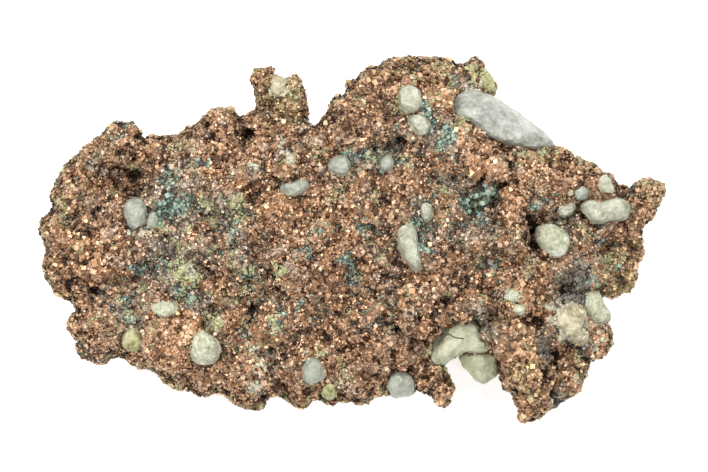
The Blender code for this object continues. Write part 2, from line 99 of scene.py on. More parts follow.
# Softboxes: name, azimuth and elevation in degrees, distance, width, height and power
SOFTBOXES = [
    ("softbox_left", 150, 48, 0.75, 0.36, 0.36, 3.4),
    ("softbox_right", 30, 46, 0.75, 0.30, 0.30, 2.0),
    ("softbox_front", 268, 44, 0.75, 0.36, 0.26, 1.7),
    ("softbox_top", 88, 50, 0.75, 0.40, 0.22, 2.6),
    ("spark_left", 118, 66, 0.80, 0.09, 0.09, 1.1),
    ("spark_right", 350, 62, 0.80, 0.08, 0.08, 0.8),
    ("spark_front", 235, 58, 0.80, 0.08, 0.08, 0.8),
]
for name, azimuth, elevation, distance, width, height, power in SOFTBOXES:
    light = bpy.data.lights.new(name, "AREA")
    light.shape = "RECTANGLE"
    light.size = width
    light.size_y = height
    light.energy = power
    lamp = bpy.data.objects.new(name, light)
    turn, lift = math.radians(azimuth), math.radians(elevation)
    out = Vector((math.cos(turn) * math.cos(lift), math.sin(turn) * math.cos(lift), math.sin(lift)))
    lamp.location = out * distance
    lamp.rotation_mode = "QUATERNION"
    lamp.rotation_quaternion = out.to_track_quat("Z", "Y")
    bpy.context.scene.collection.objects.link(lamp)
tent = bpy.data.worlds.new("tent")
tent.use_nodes = True
tent.node_tree.nodes["Background"].inputs["Color"].default_value = (1.0, 1.0, 1.0, 1)
tent.node_tree.nodes["Background"].inputs["Strength"].default_value = 0.17
bpy.context.scene.world = tent
bpy.context.scene.view_settings.view_transform = "Standard"

# The chips of rock. They lay in the vein first, and the copper grew round them, so each is a broken
# stone of its own with a blunt, chipped skin. Quartz is milky grey, calcite and the green rock are dull.


def choose(piece):
    """Makes one piece the only one that operators act on."""
    bpy.ops.object.select_all(action="DESELECT")
    piece.select_set(True)
    bpy.context.view_layer.objects.active = piece


def merged_copy(node, name):
    """A new piece with a CAD node's shape, its loose triangles merged."""
    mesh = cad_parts[node].data.copy()
    mesh.materials.clear()
    piece = bpy.data.objects.new(name, mesh)
    bpy.context.scene.collection.objects.link(piece)
    choose(piece)
    bpy.ops.object.mode_set(mode="EDIT")
    bpy.ops.mesh.select_all(action="SELECT")
    bpy.ops.mesh.remove_doubles(threshold=0.000005)
    bpy.ops.object.mode_set(mode="OBJECT")
    return piece


def apply_modifier(piece, kind, **settings):
    """Adds a modifier with these settings and applies it."""
    choose(piece)
    made = piece.modifiers.new(kind.lower(), kind)
    for key, value in settings.items():
        setattr(made, key, value)
    bpy.ops.object.modifier_apply(modifier=made.name)


def roughen(piece, kind, scale, strength, level=0.5):
    """Pushes the surface in and out by a solid noise of this scale, both in metres."""
    grain = bpy.data.textures.new("grain", kind)
    grain.noise_scale = scale
    apply_modifier(
        piece, "DISPLACE", texture=grain, texture_coords="LOCAL", strength=strength, mid_level=level)


class Wire:
    """A socket of a material that sums can be written with. Each sum adds its own Math node."""

    def __init__(self, bench, socket):
        self.bench, self.socket = bench, socket

    def maths(self, operation, first, second):
        return self.bench.node("Math", {"operation": operation}, {0: first, 1: second})

    def __add__(self, other):
        return self.maths("ADD", self, other)

    __radd__ = __add__

    def __sub__(self, other):
        return self.maths("SUBTRACT", self, other)

    def __rsub__(self, other):
        return self.maths("SUBTRACT", other, self)

    def __mul__(self, other):
        return self.maths("MULTIPLY", self, other)

    __rmul__ = __mul__


class Bench:
    """A material on the bench: node() adds a node to it by type, settings and inputs."""

    def __init__(self, name):
        self.material = bpy.data.materials.new(name)
        self.material.use_nodes = True
        self.tree = self.material.node_tree
        self.shader = self.tree.nodes["Principled BSDF"]

    def node(self, kind, settings, inputs, output=0):
        made = self.tree.nodes.new("ShaderNode" + kind)
        for key, value in settings.items():
            if key == "stops":
                for _ in value[2:]:
                    made.color_ramp.elements.new(0.5)
                for element, (place, colour) in zip(made.color_ramp.elements, value):
                    element.position = place
                    element.color = (*colour, 1)
            else:
                setattr(made, key, value)
        for key, value in inputs.items():
            self.feed(made.inputs[key], value)
        return Wire(self, made.outputs[output])

    def feed(self, socket, value):
        if isinstance(value, Wire):
            self.tree.links.new(value.socket, socket)
        else:
            socket.default_value = value

    def surface(self, **inputs):
        """Feeds the shader's own sockets, named with underscores for spaces."""
        for key, value in inputs.items():
            self.feed(self.shader.inputs[key.replace("_", " ")], value)

    def place(self):
        """The object's own coordinates."""
        return self.node("TexCoord", {}, {}, "Object")

    def speckle(self, scale, detail=3.0, roughness=0.55):
        """A fine cloudy noise, so many lumps to a metre."""
        inputs = {"Vector": self.place(), "Scale": scale, "Detail": detail, "Roughness": roughness}
        return self.node("TexNoise", {}, inputs, 0)

    def between(self, value, low, high):
        """0 below low, 1 above high and smooth between them."""
        inputs = {"Value": value, "From Min": low, "From Max": high}
        return self.node("MapRange", {"interpolation_type": "SMOOTHSTEP"}, inputs)

    def blend(self, share, first, second):
        """A mix of two colours."""
        return self.node("Mix", {"data_type": "RGBA"}, {0: share, 6: first, 7: second}, 2)

    def ramp(self, value, stops):
        return self.node("ValToRGB", {"stops": stops}, {"Fac": value})

    def bump(self, height, strength, distance):
        return self.node("Bump", {}, {"Height": height, "Strength": strength, "Distance": distance})


def rgb(red, green, blue):
    """A colour for a socket."""
    return (red, green, blue, 1)


def stone_finish(name, deep, body, pale, stain, stain_share, roughness, milk, milk_radius):
    """A rock's finish: clouded body colour, pale bruises, stain in its pores and a milky depth."""
    bench = Bench(name)
    clouds = bench.speckle(700, 5, 0.65)
    colour = bench.ramp(clouds, [(0.36, deep), (0.50, body), (0.64, pale)])
    pores = bench.speckle(1700, 3, 0.7)
    veins = bench.speckle(260, 5, 0.65)
    stained = bench.between(veins + 0.35 * pores, 0.86 - stain_share, 1.02 - stain_share)
    colour = bench.blend(stained, colour, rgb(*stain))
    crumbs = bench.between(pores, 0.50, 0.62)
    colour = bench.blend(0.6 * crumbs, colour, rgb(*pale))
    dust = bench.between(bench.speckle(3400, 2, 0.7), 0.52, 0.64)
    colour = bench.blend(0.5 * dust, colour, rgb(*deep))
    skin = bench.speckle(5200, 4, 0.6)
    bench.surface(
        Base_Color=colour,
        Roughness=roughness + 0.25 * pores,
        Normal=bench.bump(0.6 * skin + pores, 0.6, 0.00012),
    )
    bench.shader.inputs["Subsurface Weight"].default_value = milk
    bench.shader.inputs["Subsurface Radius"].default_value = milk_radius
    bench.shader.inputs["Subsurface Scale"].default_value = 1.0
    return bench.material


quartz_clear = stone_finish(
    "quartz_milky", (0.20, 0.21, 0.18), (0.33, 0.34, 0.295), (0.47, 0.48, 0.43),
    (0.35, 0.33, 0.19), 0.05, 0.22, 0.30, (0.0009, 0.0009, 0.0008))
quartz_grey = stone_finish(
    "quartz_grey", (0.23, 0.245, 0.20), (0.32, 0.335, 0.275), (0.43, 0.445, 0.365),
    (0.30, 0.32, 0.20), 0.06, 0.35, 0.20, (0.0007, 0.0007, 0.0006))
calcite_white = stone_finish(
    "calcite_white", (0.28, 0.28, 0.18), (0.44, 0.45, 0.31), (0.62, 0.63, 0.52),
    (0.32, 0.29, 0.14), 0.05, 0.5, 0.2, (0.0006, 0.0006, 0.0005))
calcite_cream = stone_finish(
    "calcite_cream", (0.24, 0.20, 0.12), (0.42, 0.38, 0.24), (0.62, 0.58, 0.42),
    (0.22, 0.16, 0.08), 0.12, 0.6, 0.1, (0.0005, 0.0005, 0.0004))
prehnite_pale = stone_finish(
    "prehnite_pale", (0.25, 0.255, 0.185), (0.39, 0.395, 0.30), (0.56, 0.565, 0.45),
    (0.30, 0.31, 0.16), 0.06, 0.35, 0.2, (0.0006, 0.0006, 0.0005))
green_rock = stone_finish(
    "green_rock_dull", (0.36, 0.365, 0.24), (0.50, 0.505, 0.35), (0.64, 0.645, 0.50),
    (0.34, 0.31, 0.17), 0.05, 0.5, 0.05, (0.0005, 0.0005, 0.0004))
# The tooth's finish: the green rock's colours darkened as painted shade, for the tooth lies in the arch's
# shadow
green_rock_shaded = stone_finish(
    "green_rock_shaded", (0.32, 0.325, 0.20), (0.42, 0.425, 0.28), (0.50, 0.505, 0.36),
    (0.28, 0.25, 0.13), 0.04, 0.5, 0.05, (0.0005, 0.0005, 0.0004))
epidote_yellow = stone_finish(
    "epidote_yellow", (0.16, 0.15, 0.05), (0.36, 0.35, 0.16), (0.52, 0.51, 0.32),
    (0.48, 0.46, 0.36), 0.10, 0.6, 0.0, (0.0005, 0.0005, 0.0004))

# Node, slot, finish, and how coarse its breaks and its skin are, in metres
CHIPS = [
    ("quartz_shard", "quartz", quartz_clear, 0.0034, 0.0007),
    ("quartz_tablet", "quartz", quartz_grey, 0.0020, 0.0004),
    ("quartz_sliver", "quartz", quartz_grey, 0.0016, 0.0003),
    ("quartz_splinter", "quartz", prehnite_pale, 0.0016, 0.0003),
    ("quartz_bar", "quartz", calcite_white, 0.0016, 0.0005),
    ("quartz_lens", "quartz", quartz_grey, 0.0018, 0.0004),
    ("quartz_chip", "quartz", quartz_grey, 0.0014, 0.0003),
    ("quartz_twin", "quartz", quartz_grey, 0.0018, 0.0004),
    ("quartz_nodule", "quartz", quartz_grey, 0.0020, 0.0004),
    ("quartz_pebble", "quartz", quartz_grey, 0.0024, 0.0004),
    ("calcite_boulder", "calcite", prehnite_pale, 0.0022, 0.0005),
    ("calcite_pebble", "calcite", prehnite_pale, 0.0018, 0.0005),
    ("calcite_blade", "calcite", prehnite_pale, 0.0020, 0.0004),
    ("calcite_flake", "calcite", prehnite_pale, 0.0014, 0.0003),
    ("calcite_knob_right", "calcite", calcite_white, 0.0018, 0.0006),
    ("calcite_knob_left", "calcite", calcite_white, 0.0018, 0.0006),
    ("calcite_cobble", "calcite", epidote_yellow, 0.0016, 0.0005),
    ("calcite_crust", "calcite", calcite_cream, 0.0016, 0.0006),
    ("calcite_knuckle", "calcite", calcite_white, 0.0018, 0.0006),
    ("calcite_drop", "calcite", epidote_yellow, 0.0012, 0.0004),
    ("calcite_saddle", "calcite", calcite_cream, 0.0014, 0.0005),
    ("calcite_grain_upper", "calcite", calcite_white, 0.0012, 0.0003),
    ("calcite_grain_lower", "calcite", calcite_white, 0.0012, 0.0003),
    ("prehnite_slab", "greenstone", prehnite_pale, 0.0022, 0.0005),
    ("prehnite_chip", "greenstone", quartz_grey, 0.0014, 0.0004),
    ("prehnite_wedge", "greenstone", prehnite_pale, 0.0014, 0.0004),
    ("rock_arch", "greenstone", green_rock, 0.0030, 0.0006),
    ("rock_tooth", "greenstone", green_rock_shaded, 0.0014, 0.0006),
    ("epidote_crust", "epidote", epidote_yellow, 0.0014, 0.0004),
]
# The crack across the arch, in pixels, and its width and depth
CRACK_PX = [(436, 337.5), (442, 334.5), (448, 333.5), (452, 336), (457, 337.5), (463, 338)]
CRACK_WIDTH, CRACK_DEPTH, CRACK_TOP = 0.00010, 0.0009, 0.004


def crack_cutter(chip):
    """A thin jagged wall that stands in the chip where it is cracked, as deep as the crack goes."""
    top = max(v.co.z for v in chip.data.vertices)
    cutter = bmesh.new()
    rows = []
    for px, py in CRACK_PX:
        x, y = spot(px, py)
        ray = [v.co.z for v in chip.data.vertices if (v.co.xy - Vector((x, y))).length < 0.0008]
        floor = max(ray) - CRACK_DEPTH
        corners = [(y - CRACK_WIDTH, floor), (y + CRACK_WIDTH, floor), (y + CRACK_WIDTH, top + CRACK_TOP),
                   (y - CRACK_WIDTH, top + CRACK_TOP)]
        rows.append([cutter.verts.new((x, across, height)) for across, height in corners])
    for first, second in zip(rows, rows[1:]):
        for i in range(4):
            cutter.faces.new([first[i], first[(i + 1) % 4], second[(i + 1) % 4], second[i]])
    cutter.faces.new(rows[0])
    cutter.faces.new(rows[-1])
    bmesh.ops.recalc_face_normals(cutter, faces=cutter.faces[:])
    mesh = bpy.data.meshes.new("crack")
    cutter.to_mesh(mesh)
    cutter.free()
    made = bpy.data.objects.new("crack", mesh)
    bpy.context.scene.collection.objects.link(made)
    return made


def cut_flats(chip, count, lifts, depth, rng):
    """Breaks flat faces off a chip with plane cuts, which look up by the lifts given."""
    for _ in range(count):
        lift = rng.uniform(*lifts)
        turn = rng.uniform(0, 2 * math.pi)
        across = math.sqrt(1 - lift**2)
        facing = Vector((math.cos(turn) * across, math.sin(turn) * across, lift))
        reaches = sorted(v.co.dot(facing) for v in chip.data.vertices)
        top, middle = reaches[-1], reaches[len(reaches) // 2]
        place = facing * (top - rng.uniform(0.02, depth) * (top - middle))
        choose(chip)
        bpy.ops.object.mode_set(mode="EDIT")
        bpy.ops.mesh.select_all(action="SELECT")
        bpy.ops.mesh.bisect(plane_co=place, plane_no=facing, use_fill=True, clear_outer=True)
        bpy.ops.object.mode_set(mode="OBJECT")


FLAT_SEED = 7
FLAT_DEPTH, SHARD_DEPTH = 0.27, 0.15
FLATS = 7
SIDES, SIDE_DEPTH = 5, 0.20
CHIP_EDGE = 0.00016
CHIP_GROWTH = 0.00037
CHIP_VOXEL = 0.00022
BREAK_SHARE = 0.15
SKIN_DEPTH = 0.00028
FLAKED_SHARE = 0.12
SUGARY_SHARE = 0.55
SUGAR_SCALE, SUGAR_DEPTH = 0.0004, 0.00022
flat_rng = np.random.default_rng(FLAT_SEED)
side_rng = np.random.default_rng(FLAT_SEED + 1)
chips = []
cut_forms = []
for node, slot, finish, breaks, skin in CHIPS:
    chip = merged_copy(node, node + "_stone")
    cut_flats(chip, FLATS, (0.45, 0.97), SHARD_DEPTH if node == "quartz_shard" else FLAT_DEPTH, flat_rng)
    if node not in ("quartz_shard", "rock_arch", "rock_tooth"):
        cut_flats(chip, SIDES, (0.0, 0.25), SIDE_DEPTH, side_rng)
    cut_forms.append(chip.data.copy())
    apply_modifier(chip, "BEVEL", width=CHIP_EDGE, segments=2)
    apply_modifier(chip, "REMESH", mode="VOXEL", voxel_size=CHIP_VOXEL)
    apply_modifier(chip, "DISPLACE", strength=CHIP_GROWTH, mid_level=0)
    roughen(chip, "VORONOI", breaks, BREAK_SHARE * breaks, 0.42)
    roughen(chip, "CLOUDS", skin, SKIN_DEPTH)
    if finish in (calcite_white, calcite_cream, epidote_yellow):
        roughen(chip, "STUCCI", SUGAR_SCALE, SUGAR_DEPTH)
        apply_modifier(chip, "DECIMATE", ratio=SUGARY_SHARE)
    else:
        apply_modifier(chip, "DECIMATE", ratio=FLAKED_SHARE)
    if node == "rock_arch":
        crack = crack_cutter(chip)
        apply_modifier(chip, "BOOLEAN", object=crack, operation="DIFFERENCE", solver="EXACT")
        bpy.data.objects.remove(crack)
    bpy.ops.object.shade_smooth_by_angle(angle=math.radians(14))
    chip.data.materials.append(finish)
    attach(chip, "root")
    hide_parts(node)
    chips.append(chip)

# The copper's body. The metal grew as one branching crowd of lumps. Under its crystals it is a skin of
# rounded knots one to two millimetres across, packed against each other and against the chips.
BODY_INSET = 0.00050
PLUG_GROWTH = 0.00040
PLUG_DROP = 0.0007
BODY_VOXEL = 0.0005
SKIN_VOXEL = 0.00043
KNOT_SEED = 11
RAG_SCALE = 900
RAG_SIZE = 0.0017


def broken(points):
    """The places shifted by a solid noise, so that patches get ragged edges."""
    shift = [noise.noise_vector(Vector(p) * RAG_SCALE) for p in points]
    return points + np.array(shift) * RAG_SIZE


def patch_share(ragged, patches):
    """How strongly each place lies in the patches: 1 in the heart of a full one, 0 outside."""
    total = np.zeros(len(ragged))
    for _, px, py, half_x, half_y, turn, strength in patches:
        x, y = spot(px, py)
        angle = math.radians(turn)
        along = (ragged[:, 0] - x) * math.cos(angle) + (ragged[:, 1] - y) * math.sin(angle)
        across = (ragged[:, 1] - y) * math.cos(angle) - (ragged[:, 0] - x) * math.sin(angle)
        spread = (along / (half_x * PX)) ** 2 + (across / (half_y * PX)) ** 2
        total = np.maximum(total, strength * np.exp(-spread**1.5))
    return total


def scattered(mesh, count, rng):
    """Places spread evenly over a mesh, with the surface's outward direction at each."""
    mesh.calc_loop_triangles()
    corners = np.empty(len(mesh.vertices) * 3)
    mesh.vertices.foreach_get("co", corners)
    corners = corners.reshape(-1, 3)
    faces = np.empty(len(mesh.loop_triangles) * 3, int)
    mesh.loop_triangles.foreach_get("vertices", faces)
    a, b, c = (corners[faces.reshape(-1, 3)[:, i]] for i in range(3))
    normal = np.cross(b - a, c - a)
    area = np.linalg.norm(normal, axis=1)
    chosen = rng.choice(len(area), count, p=area / area.sum())
    u, v = rng.random((2, count, 1))
    flip = u + v > 1
    u, v = np.where(flip, 1 - u, u), np.where(flip, 1 - v, v)
    places = a[chosen] + u * (b - a)[chosen] + v * (c - a)[chosen]
    return places, normal[chosen] / area[chosen, None]


def thinned(places, spacing):
    """The places that keep their own spacing from every earlier one, by number."""
    tree = KDTree(len(places))
    for i, place in enumerate(places):
        tree.insert(place, i)
    tree.balance()
    free = [True] * len(places)
    kept = []
    for i, place in enumerate(places):
        if free[i]:
            kept.append(i)
            for _, other, _ in tree.find_range(place, spacing[i]):
                free[other] = False
    return np.array(kept)


def tilted(outward, lean, rng):
    """Turns that bring a form's own +Z near each outward direction, as matrices."""
    up = outward + lean * rng.normal(size=outward.shape)
    up /= np.linalg.norm(up, axis=1)[:, None]
    side = np.cross(up, rng.normal(size=outward.shape))
    side /= np.linalg.norm(side, axis=1)[:, None]
    return np.stack([side, np.cross(up, side), up], 2)


def turns(count, rng):
    """Random turns, as matrices."""
    w, x, y, z = rng.normal(size=(4, count))
    size = np.sqrt(w * w + x * x + y * y + z * z)
    w, x, y, z = w / size, x / size, y / size, z / size
    rows = [
        [1 - 2 * (y * y + z * z), 2 * (x * y - z * w), 2 * (x * z + y * w)],
        [2 * (x * y + z * w), 1 - 2 * (x * x + z * z), 2 * (y * z - x * w)],
        [2 * (x * z - y * w), 2 * (y * z + x * w), 1 - 2 * (x * x + y * y)],
    ]
    return np.array(rows).transpose(2, 0, 1)


def edge_room(places):
    """How far inside the nugget's edge each place is, seen from above."""
    closed = np.vstack([RIM, RIM[:1]])
    start, side = closed[:-1], np.diff(closed, axis=0)
    room = np.full(len(places), np.inf)
    crossings = np.zeros(len(places), int)
    for (x, y), (dx, dy) in zip(start, side):
        gone = places[:, :2] - (x, y)
        along = np.clip((gone @ (dx, dy)) / (dx * dx + dy * dy), 0, 1)
        room = np.minimum(room, np.linalg.norm(gone - along[:, None] * (dx, dy), axis=1))
        if dy:
            spans = (gone[:, 1] >= min(0, dy)) & (gone[:, 1] < max(0, dy))
            crossings += spans & (gone[:, 0] < dx * gone[:, 1] / dy)
    return np.where(crossings % 2 == 1, room, -room)


def solid_form(corners):
    """A closed form round these corners, as arrays of its points and triangles."""
    bm = bmesh.new()
    points = [bm.verts.new(corner) for corner in corners]
    bmesh.ops.convex_hull(bm, input=points)
    bmesh.ops.triangulate(bm, faces=bm.faces[:])
    bmesh.ops.recalc_face_normals(bm, faces=bm.faces[:])
    bm.verts.index_update()
    found = np.array([v.co for v in bm.verts]), np.array([[v.index for v in f.verts] for f in bm.faces])
    bm.free()
    return found


def copies(form, places, sizes, spins):
    """Every copy of a form at its place, as one array of points and one of triangles."""
    points, triangles = form
    stretched = points[None] * sizes[:, None, :]
    moved = np.einsum("nij,nkj->nki", spins, stretched) + places[:, None, :]
    shifted = triangles[None] + (np.arange(len(places)) * len(points))[:, None, None]
    return moved.reshape(-1, 3), shifted.reshape(-1, 3)


def array_mesh(name, points, triangles):
    """A mesh piece from arrays of points and triangles."""
    mesh = bpy.data.meshes.new(name)
    mesh.vertices.add(len(points))
    mesh.vertices.foreach_set("co", points.ravel().astype(np.float32))
    mesh.loops.add(triangles.size)
    mesh.loops.foreach_set("vertex_index", triangles.ravel().astype(np.int32))
    mesh.polygons.add(len(triangles))
    mesh.polygons.foreach_set("loop_start", np.arange(0, triangles.size, 3, dtype=np.int32))
    mesh.update(calc_edges=True)
    mesh.shade_flat()
    piece = bpy.data.objects.new(name, mesh)
    bpy.context.scene.collection.objects.link(piece)
    return piece


def points_of(piece):
    """The corners of a piece's mesh as an array."""
    found = np.empty(len(piece.data.vertices) * 3)
    piece.data.vertices.foreach_get("co", found)
    return found.reshape(-1, 3)


def join(first, others):
    """Makes the others part of the first piece."""
    choose(first)
    for other in others:
        other.select_set(True)
    bpy.ops.object.join()


# The nugget's edge seen from above, clockwise from the upper left, in the photograph's pixels
RIM_PX = [
    (104, 134), (109, 125), (114, 120.5), (118, 123), (129, 121), (133, 123), (138, 128), (142, 131),
    (143, 138.5), (147, 138), (150, 133.5), (156, 134), (160.5, 136.5), (167, 136.5), (173.5, 131.5),
    (176.5, 135.5), (181, 133.5), (184.5, 127), (190, 126.5), (199, 121.5), (203.5, 120), (205.5, 116),
    (209, 110.5), (213, 108.5), (223, 106.6), (228.5, 109.7), (234, 108.5), (239.3, 118), (248.5, 113),
    (258, 109.3), (255.4, 105.7), (256.4, 99), (252.6, 85.7), (249.3, 83), (251.4, 74.3), (254.3, 70),
    (258, 68), (264, 68.6), (272, 65.4), (275.4, 68.6), (276, 74.3), (279.3, 76.4), (285, 78),
    (291.4, 73.6), (301.4, 74), (304.3, 76.4), (303, 81.4), (303.6, 88.6), (309.3, 96.4), (307, 100),
    (310.3, 108), (308, 110.7), (308.6, 121.4), (311.4, 126.4), (315.7, 126.4), (320, 123),
    (325.7, 113), (329.3, 108.6), (330, 101.4), (329, 95), (336.4, 96.4), (340, 94.6), (344.3, 96.4),
    (347, 91.4), (343, 82), (345.7, 78.6), (354.3, 79.3), (359.3, 78), (363.6, 68), (368, 66),
    (378, 70.7), (380, 64.3), (385, 60.3), (396.4, 56), (400.3, 58), (404.3, 56), (410, 55.3),
    (417, 57), (423.6, 55.7), (435.7, 56), (441.4, 58), (449.3, 55.7), (455, 64.3), (458, 66),
    (463, 63), (469.3, 60), (471.4, 55.7), (475.7, 55.7), (484.3, 62), (485.7, 68.6), (488.6, 75.7),
    (498.6, 91.4), (502, 104.3), (512, 112), (534, 127), (552, 140.5), (556, 145.7), (565, 147),
    (569.3, 150), (573, 155), (580, 157), (583, 160.3), (591.4, 160.3), (596.4, 163.6), (602, 171.4),
    (607, 173), (613, 172.6), (616.4, 175.4), (614.3, 183.6), (625.7, 186.4), (633, 187.6),
    (640, 176.4), (650, 178), (655, 181.4), (660.7, 180.7), (666.4, 188.6), (667, 193), (665, 198),
    (655, 210.7), (655, 220.7), (649.3, 220.7), (641.4, 230.7), (641.4, 236.4), (645, 248),
    (642.6, 253), (642, 259.3), (638, 263.6), (637.6, 270.7), (633.6, 292), (622, 293.6), (615.7, 298),
    (600.7, 300), (600.7, 305), (609.3, 312), (609.3, 318), (607, 322), (613, 329.3), (611.4, 335),
    (614.7, 342), (608, 352), (598.6, 359.3), (588.6, 360.7), (591.4, 368.6), (587, 371.4),
    (582, 386.4), (578, 394.6), (570, 396.4), (563, 401.4), (556.4, 407), (550.7, 409.3), (548, 413),
    (530.7, 420.7), (527, 423.6), (521.4, 423.6), (518, 421.4), (512, 403), (511.4, 391.4),
    (503, 391.4), (499.3, 380.7), (498, 371.7), (487, 378), (482, 380.3), (473, 370.7), (463, 367),
    (458.6, 355.7), (450, 362), (447, 369.5), (451, 377), (451.4, 384.3), (454, 388), (450, 400),
    (449.3, 406.4), (442, 411.7), (434.3, 408), (433, 401.4), (433.6, 396.4), (431.4, 391.7),
    (427, 393.6), (415.7, 390.3), (408, 394.6), (390, 391.4), (384.3, 396.7), (373.6, 398),
    (365.7, 405), (362, 408.6), (353.6, 402), (345, 403.6), (339.3, 400.4), (336.4, 404.3),
    (326.4, 408.6), (321.4, 398.3), (311.4, 401.4), (309.3, 405.7), (305, 409), (295.7, 408.3),
    (281.4, 397), (265.7, 398), (266.4, 407), (261.4, 412), (250.7, 408.6), (236.4, 407),
    (230.7, 399.3), (227, 395.7), (215.7, 391.4), (207, 397), (195.7, 394.3), (190, 390.3),
    (173, 389.3), (165, 383), (160, 377), (154.3, 370), (133.6, 366.4), (118.6, 356), (113.6, 358),
    (107, 363), (98.6, 366), (90, 360.7), (80.7, 358.6), (75.3, 347), (79.3, 339.3), (78, 334.3),
    (73, 335.7), (66, 326.4), (65.7, 320.7), (76.4, 310), (71.4, 299.3), (58, 297), (55, 290.7),
    (47.4, 278), (42, 268), (42, 262), (47, 250.7), (44.3, 237), (39, 229), (38, 226.4), (41.4, 216.4),
    (54.3, 210.7), (55, 207), (52, 194.3), (54.3, 183), (58.6, 178), (62, 167), (71.4, 158),
    (79.3, 153.6), (83.6, 145), (92, 142),
]
RIM = np.array([spot(*p) for p in RIM_PX])
RIM_KNOB = (3.6, 7.6)
RIM_STEP = 0.00012
RIM_HEIGHT = 0.0095
RIM_SPREAD = 0.0014
RIM_GAP = 1.35
RIM_TOUCH = 1.4

# Where the knots are coarse: the lower middle, the foot column, the right end and the left lobe
COARSE = [
    ("lower middle", 430, 345, 80, 62, 0, 1.0),
    ("foot column", 524, 360, 28, 76, 0, 1.0),
    ("lower right lobe", 580, 350, 30, 60, 0, 0.7),
    ("left lobe", 78, 240, 40, 70, 0, 0.6),
    ("upper left lobe", 110, 150, 40, 30, 0, 0.7),
    ("smooth lumps", 366, 264, 16, 16, 0, 0.8),
    ("big boulders", 496, 185, 26, 36, 0, 0.9),
]
# Pits: the dark holes between the lumps, dug into the body and darkened further with painted shade
# (PIT_SHADE), as name, middle, half widths in pixels, turn, depth in metres
PITS = [
    ("right hole", 531, 239, 16, 6, -71, 0.0026),
    ("column's foot", 547, 366, 14, 7, 71, 0.0026),
    ("column's toe", 554, 394, 9, 5, -68, 0.0020),
    ("centre slash", 253, 313, 13, 3.5, -61, 0.0020),
    ("left hollow", 127, 192, 8, 5, -55, 0.0026),
    ("left hollow's arm", 133, 177, 10, 4.5, 75, 0.0026),
    ("left hollow's rim", 142, 187, 5, 5, -72, 0.0018),
    ("tower's armpit", 250, 134, 9, 4.5, -46, 0.0024),
    ("boulder's shadow", 479, 185, 10, 4.5, 77, 0.0022),
    ("centre hole", 426, 303, 7, 4.5, -43, 0.0018),
    ("upper eye", 212, 135, 6, 5, 75, 0.0024),
    ("lower right corner", 583, 356, 6, 5, -18, 0.0018),
    ("crown slit", 399, 140, 9, 4, 70, 0.0018),
    ("column's heel", 533, 412, 7, 4, 79, 0.0016),
    ("upper left eye", 100, 152, 5.5, 4.5, -57, 0.0020),
    ("lower centre slot", 392, 326, 8, 3.5, -70, 0.0018),
    ("lower left slot", 99, 294, 7, 4.5, 45, 0.0018),
    ("upper left crack", 130, 148, 7, 4, -60, 0.0014),
    ("column's cleft", 550, 340, 7, 3.5, -78, 0.0016),
    ("column's waist", 509, 347, 7, 3.5, -45, 0.0016),
    ("blade's heel", 386, 234, 5, 4, -74, 0.0018),
    ("left edge cleft", 78, 283, 9, 3.5, 69, 0.0016),
    ("centre cleft", 436, 312, 7, 3.5, 80, 0.0014),
    ("lobe crack", 82, 233, 6, 3.5, -30, 0.0014),
    ("centre crack", 418, 316, 7, 3.5, -56, 0.0014),
    ("hollow's brow", 114, 173, 7, 3.5, 5, 0.0014),
    ("twin cleft", 508, 167, 6, 3.5, 90, 0.0014),
    ("small boulder's side", 467, 177, 7, 3.5, -80, 0.0016),
    ("arch's shoulder", 488, 326, 5, 3.5, -32, 0.0014),
    ("left shoulder", 58, 213, 5, 3.5, -65, 0.0012),
    ("right of centre", 486, 267, 6, 3.5, -57, 0.0014),
    ("above the centre hole", 396, 298, 6, 3.5, 72, 0.0014),
    ("column's brow", 531, 321, 7, 4, -35, 0.0014),
    ("boulder's cleft", 497, 188, 10, 3.5, 20, 0.0012),
    ("round boulder's side", 523, 219, 9, 3.5, 60, 0.0012),
    ("lower hole", 331, 334, 5, 4, 0, 0.0012),
]
# Single round lumps that stand out, as middle and radius in pixels
LUMPS = [
    (495, 169.5, 11.5), (514, 203, 9), (474.5, 172.5, 7), (473.6, 160, 5), (606, 192, 6),
    (437.6, 82, 9), (480.5, 136, 7), (450.6, 291.5, 6.5), (471, 294, 8), (490, 307, 6), (584, 323, 6),
    (501.6, 346, 6.5), (528.4, 330, 7.5), (566.7, 355, 6.5), (556, 355, 4.5), (542.4, 356.5, 7.5),
    (524.6, 414, 7.5), (542.4, 401, 8), (598.6, 352.7, 6.5), (608.8, 328.5, 5), (486.3, 331, 6),
    (440.4, 405, 7), (450.6, 391, 5), (73, 152, 6), (88, 149, 6), (114, 132, 7), (129, 130, 7),
    (49, 262, 7), (62, 290, 6), (85, 350, 6), (262, 74, 6), (295, 80, 6), (366, 264, 8), (360, 250, 7),
    (376, 275, 6), (655, 186, 7), (640, 190, 5),
]
LUMP_SINK, LUMP_ROOM = 0.1, 0.0006
LEAST_LUMP = 0.0003
BIG_SHARE = 0.5
BIG_RADIUS = (0.00060, 0.00105)
SMALL_RADIUS = (0.00032, 0.00050)
BIG_GAP, SMALL_GAP = 1.6, 1.1
KNOT_RANGE = (0.85, 1.2)
KNOT_STRETCH = (0.9, 1.08)
LEAST_KNOT = 0.00025
KNOT_ROOM = 0.0001
BACK_COARSE = 0.5
PIT_START, PIT_RAMP, PIT_CLEAR = 0.008, 0.002, 0.0007
RIM_ROOM, RIM_LEAST = 0.00008, 0.7
GRAIN_SCALE, GRAIN_DEPTH = 0.0006, 0.00015
BIG_LIFT = 0.18
SMALL_LIFT = -0.45
RIM_NOTCH = 0.00040
CANDIDATE_KNOTS = 40000
EVENING = 30
rng = np.random.default_rng(KNOT_SEED)
body = merged_copy("copper_mass", "copper_body")
plugs = []
for form in cut_forms:
    plug = bpy.data.objects.new("plug", form)
    bpy.context.scene.collection.objects.link(plug)
    apply_modifier(plug, "DISPLACE", strength=PLUG_GROWTH, mid_level=0)
    plug.data.transform(Matrix.Translation((0, 0, -PLUG_DROP)))
    plugs.append(plug)
join(body, plugs)
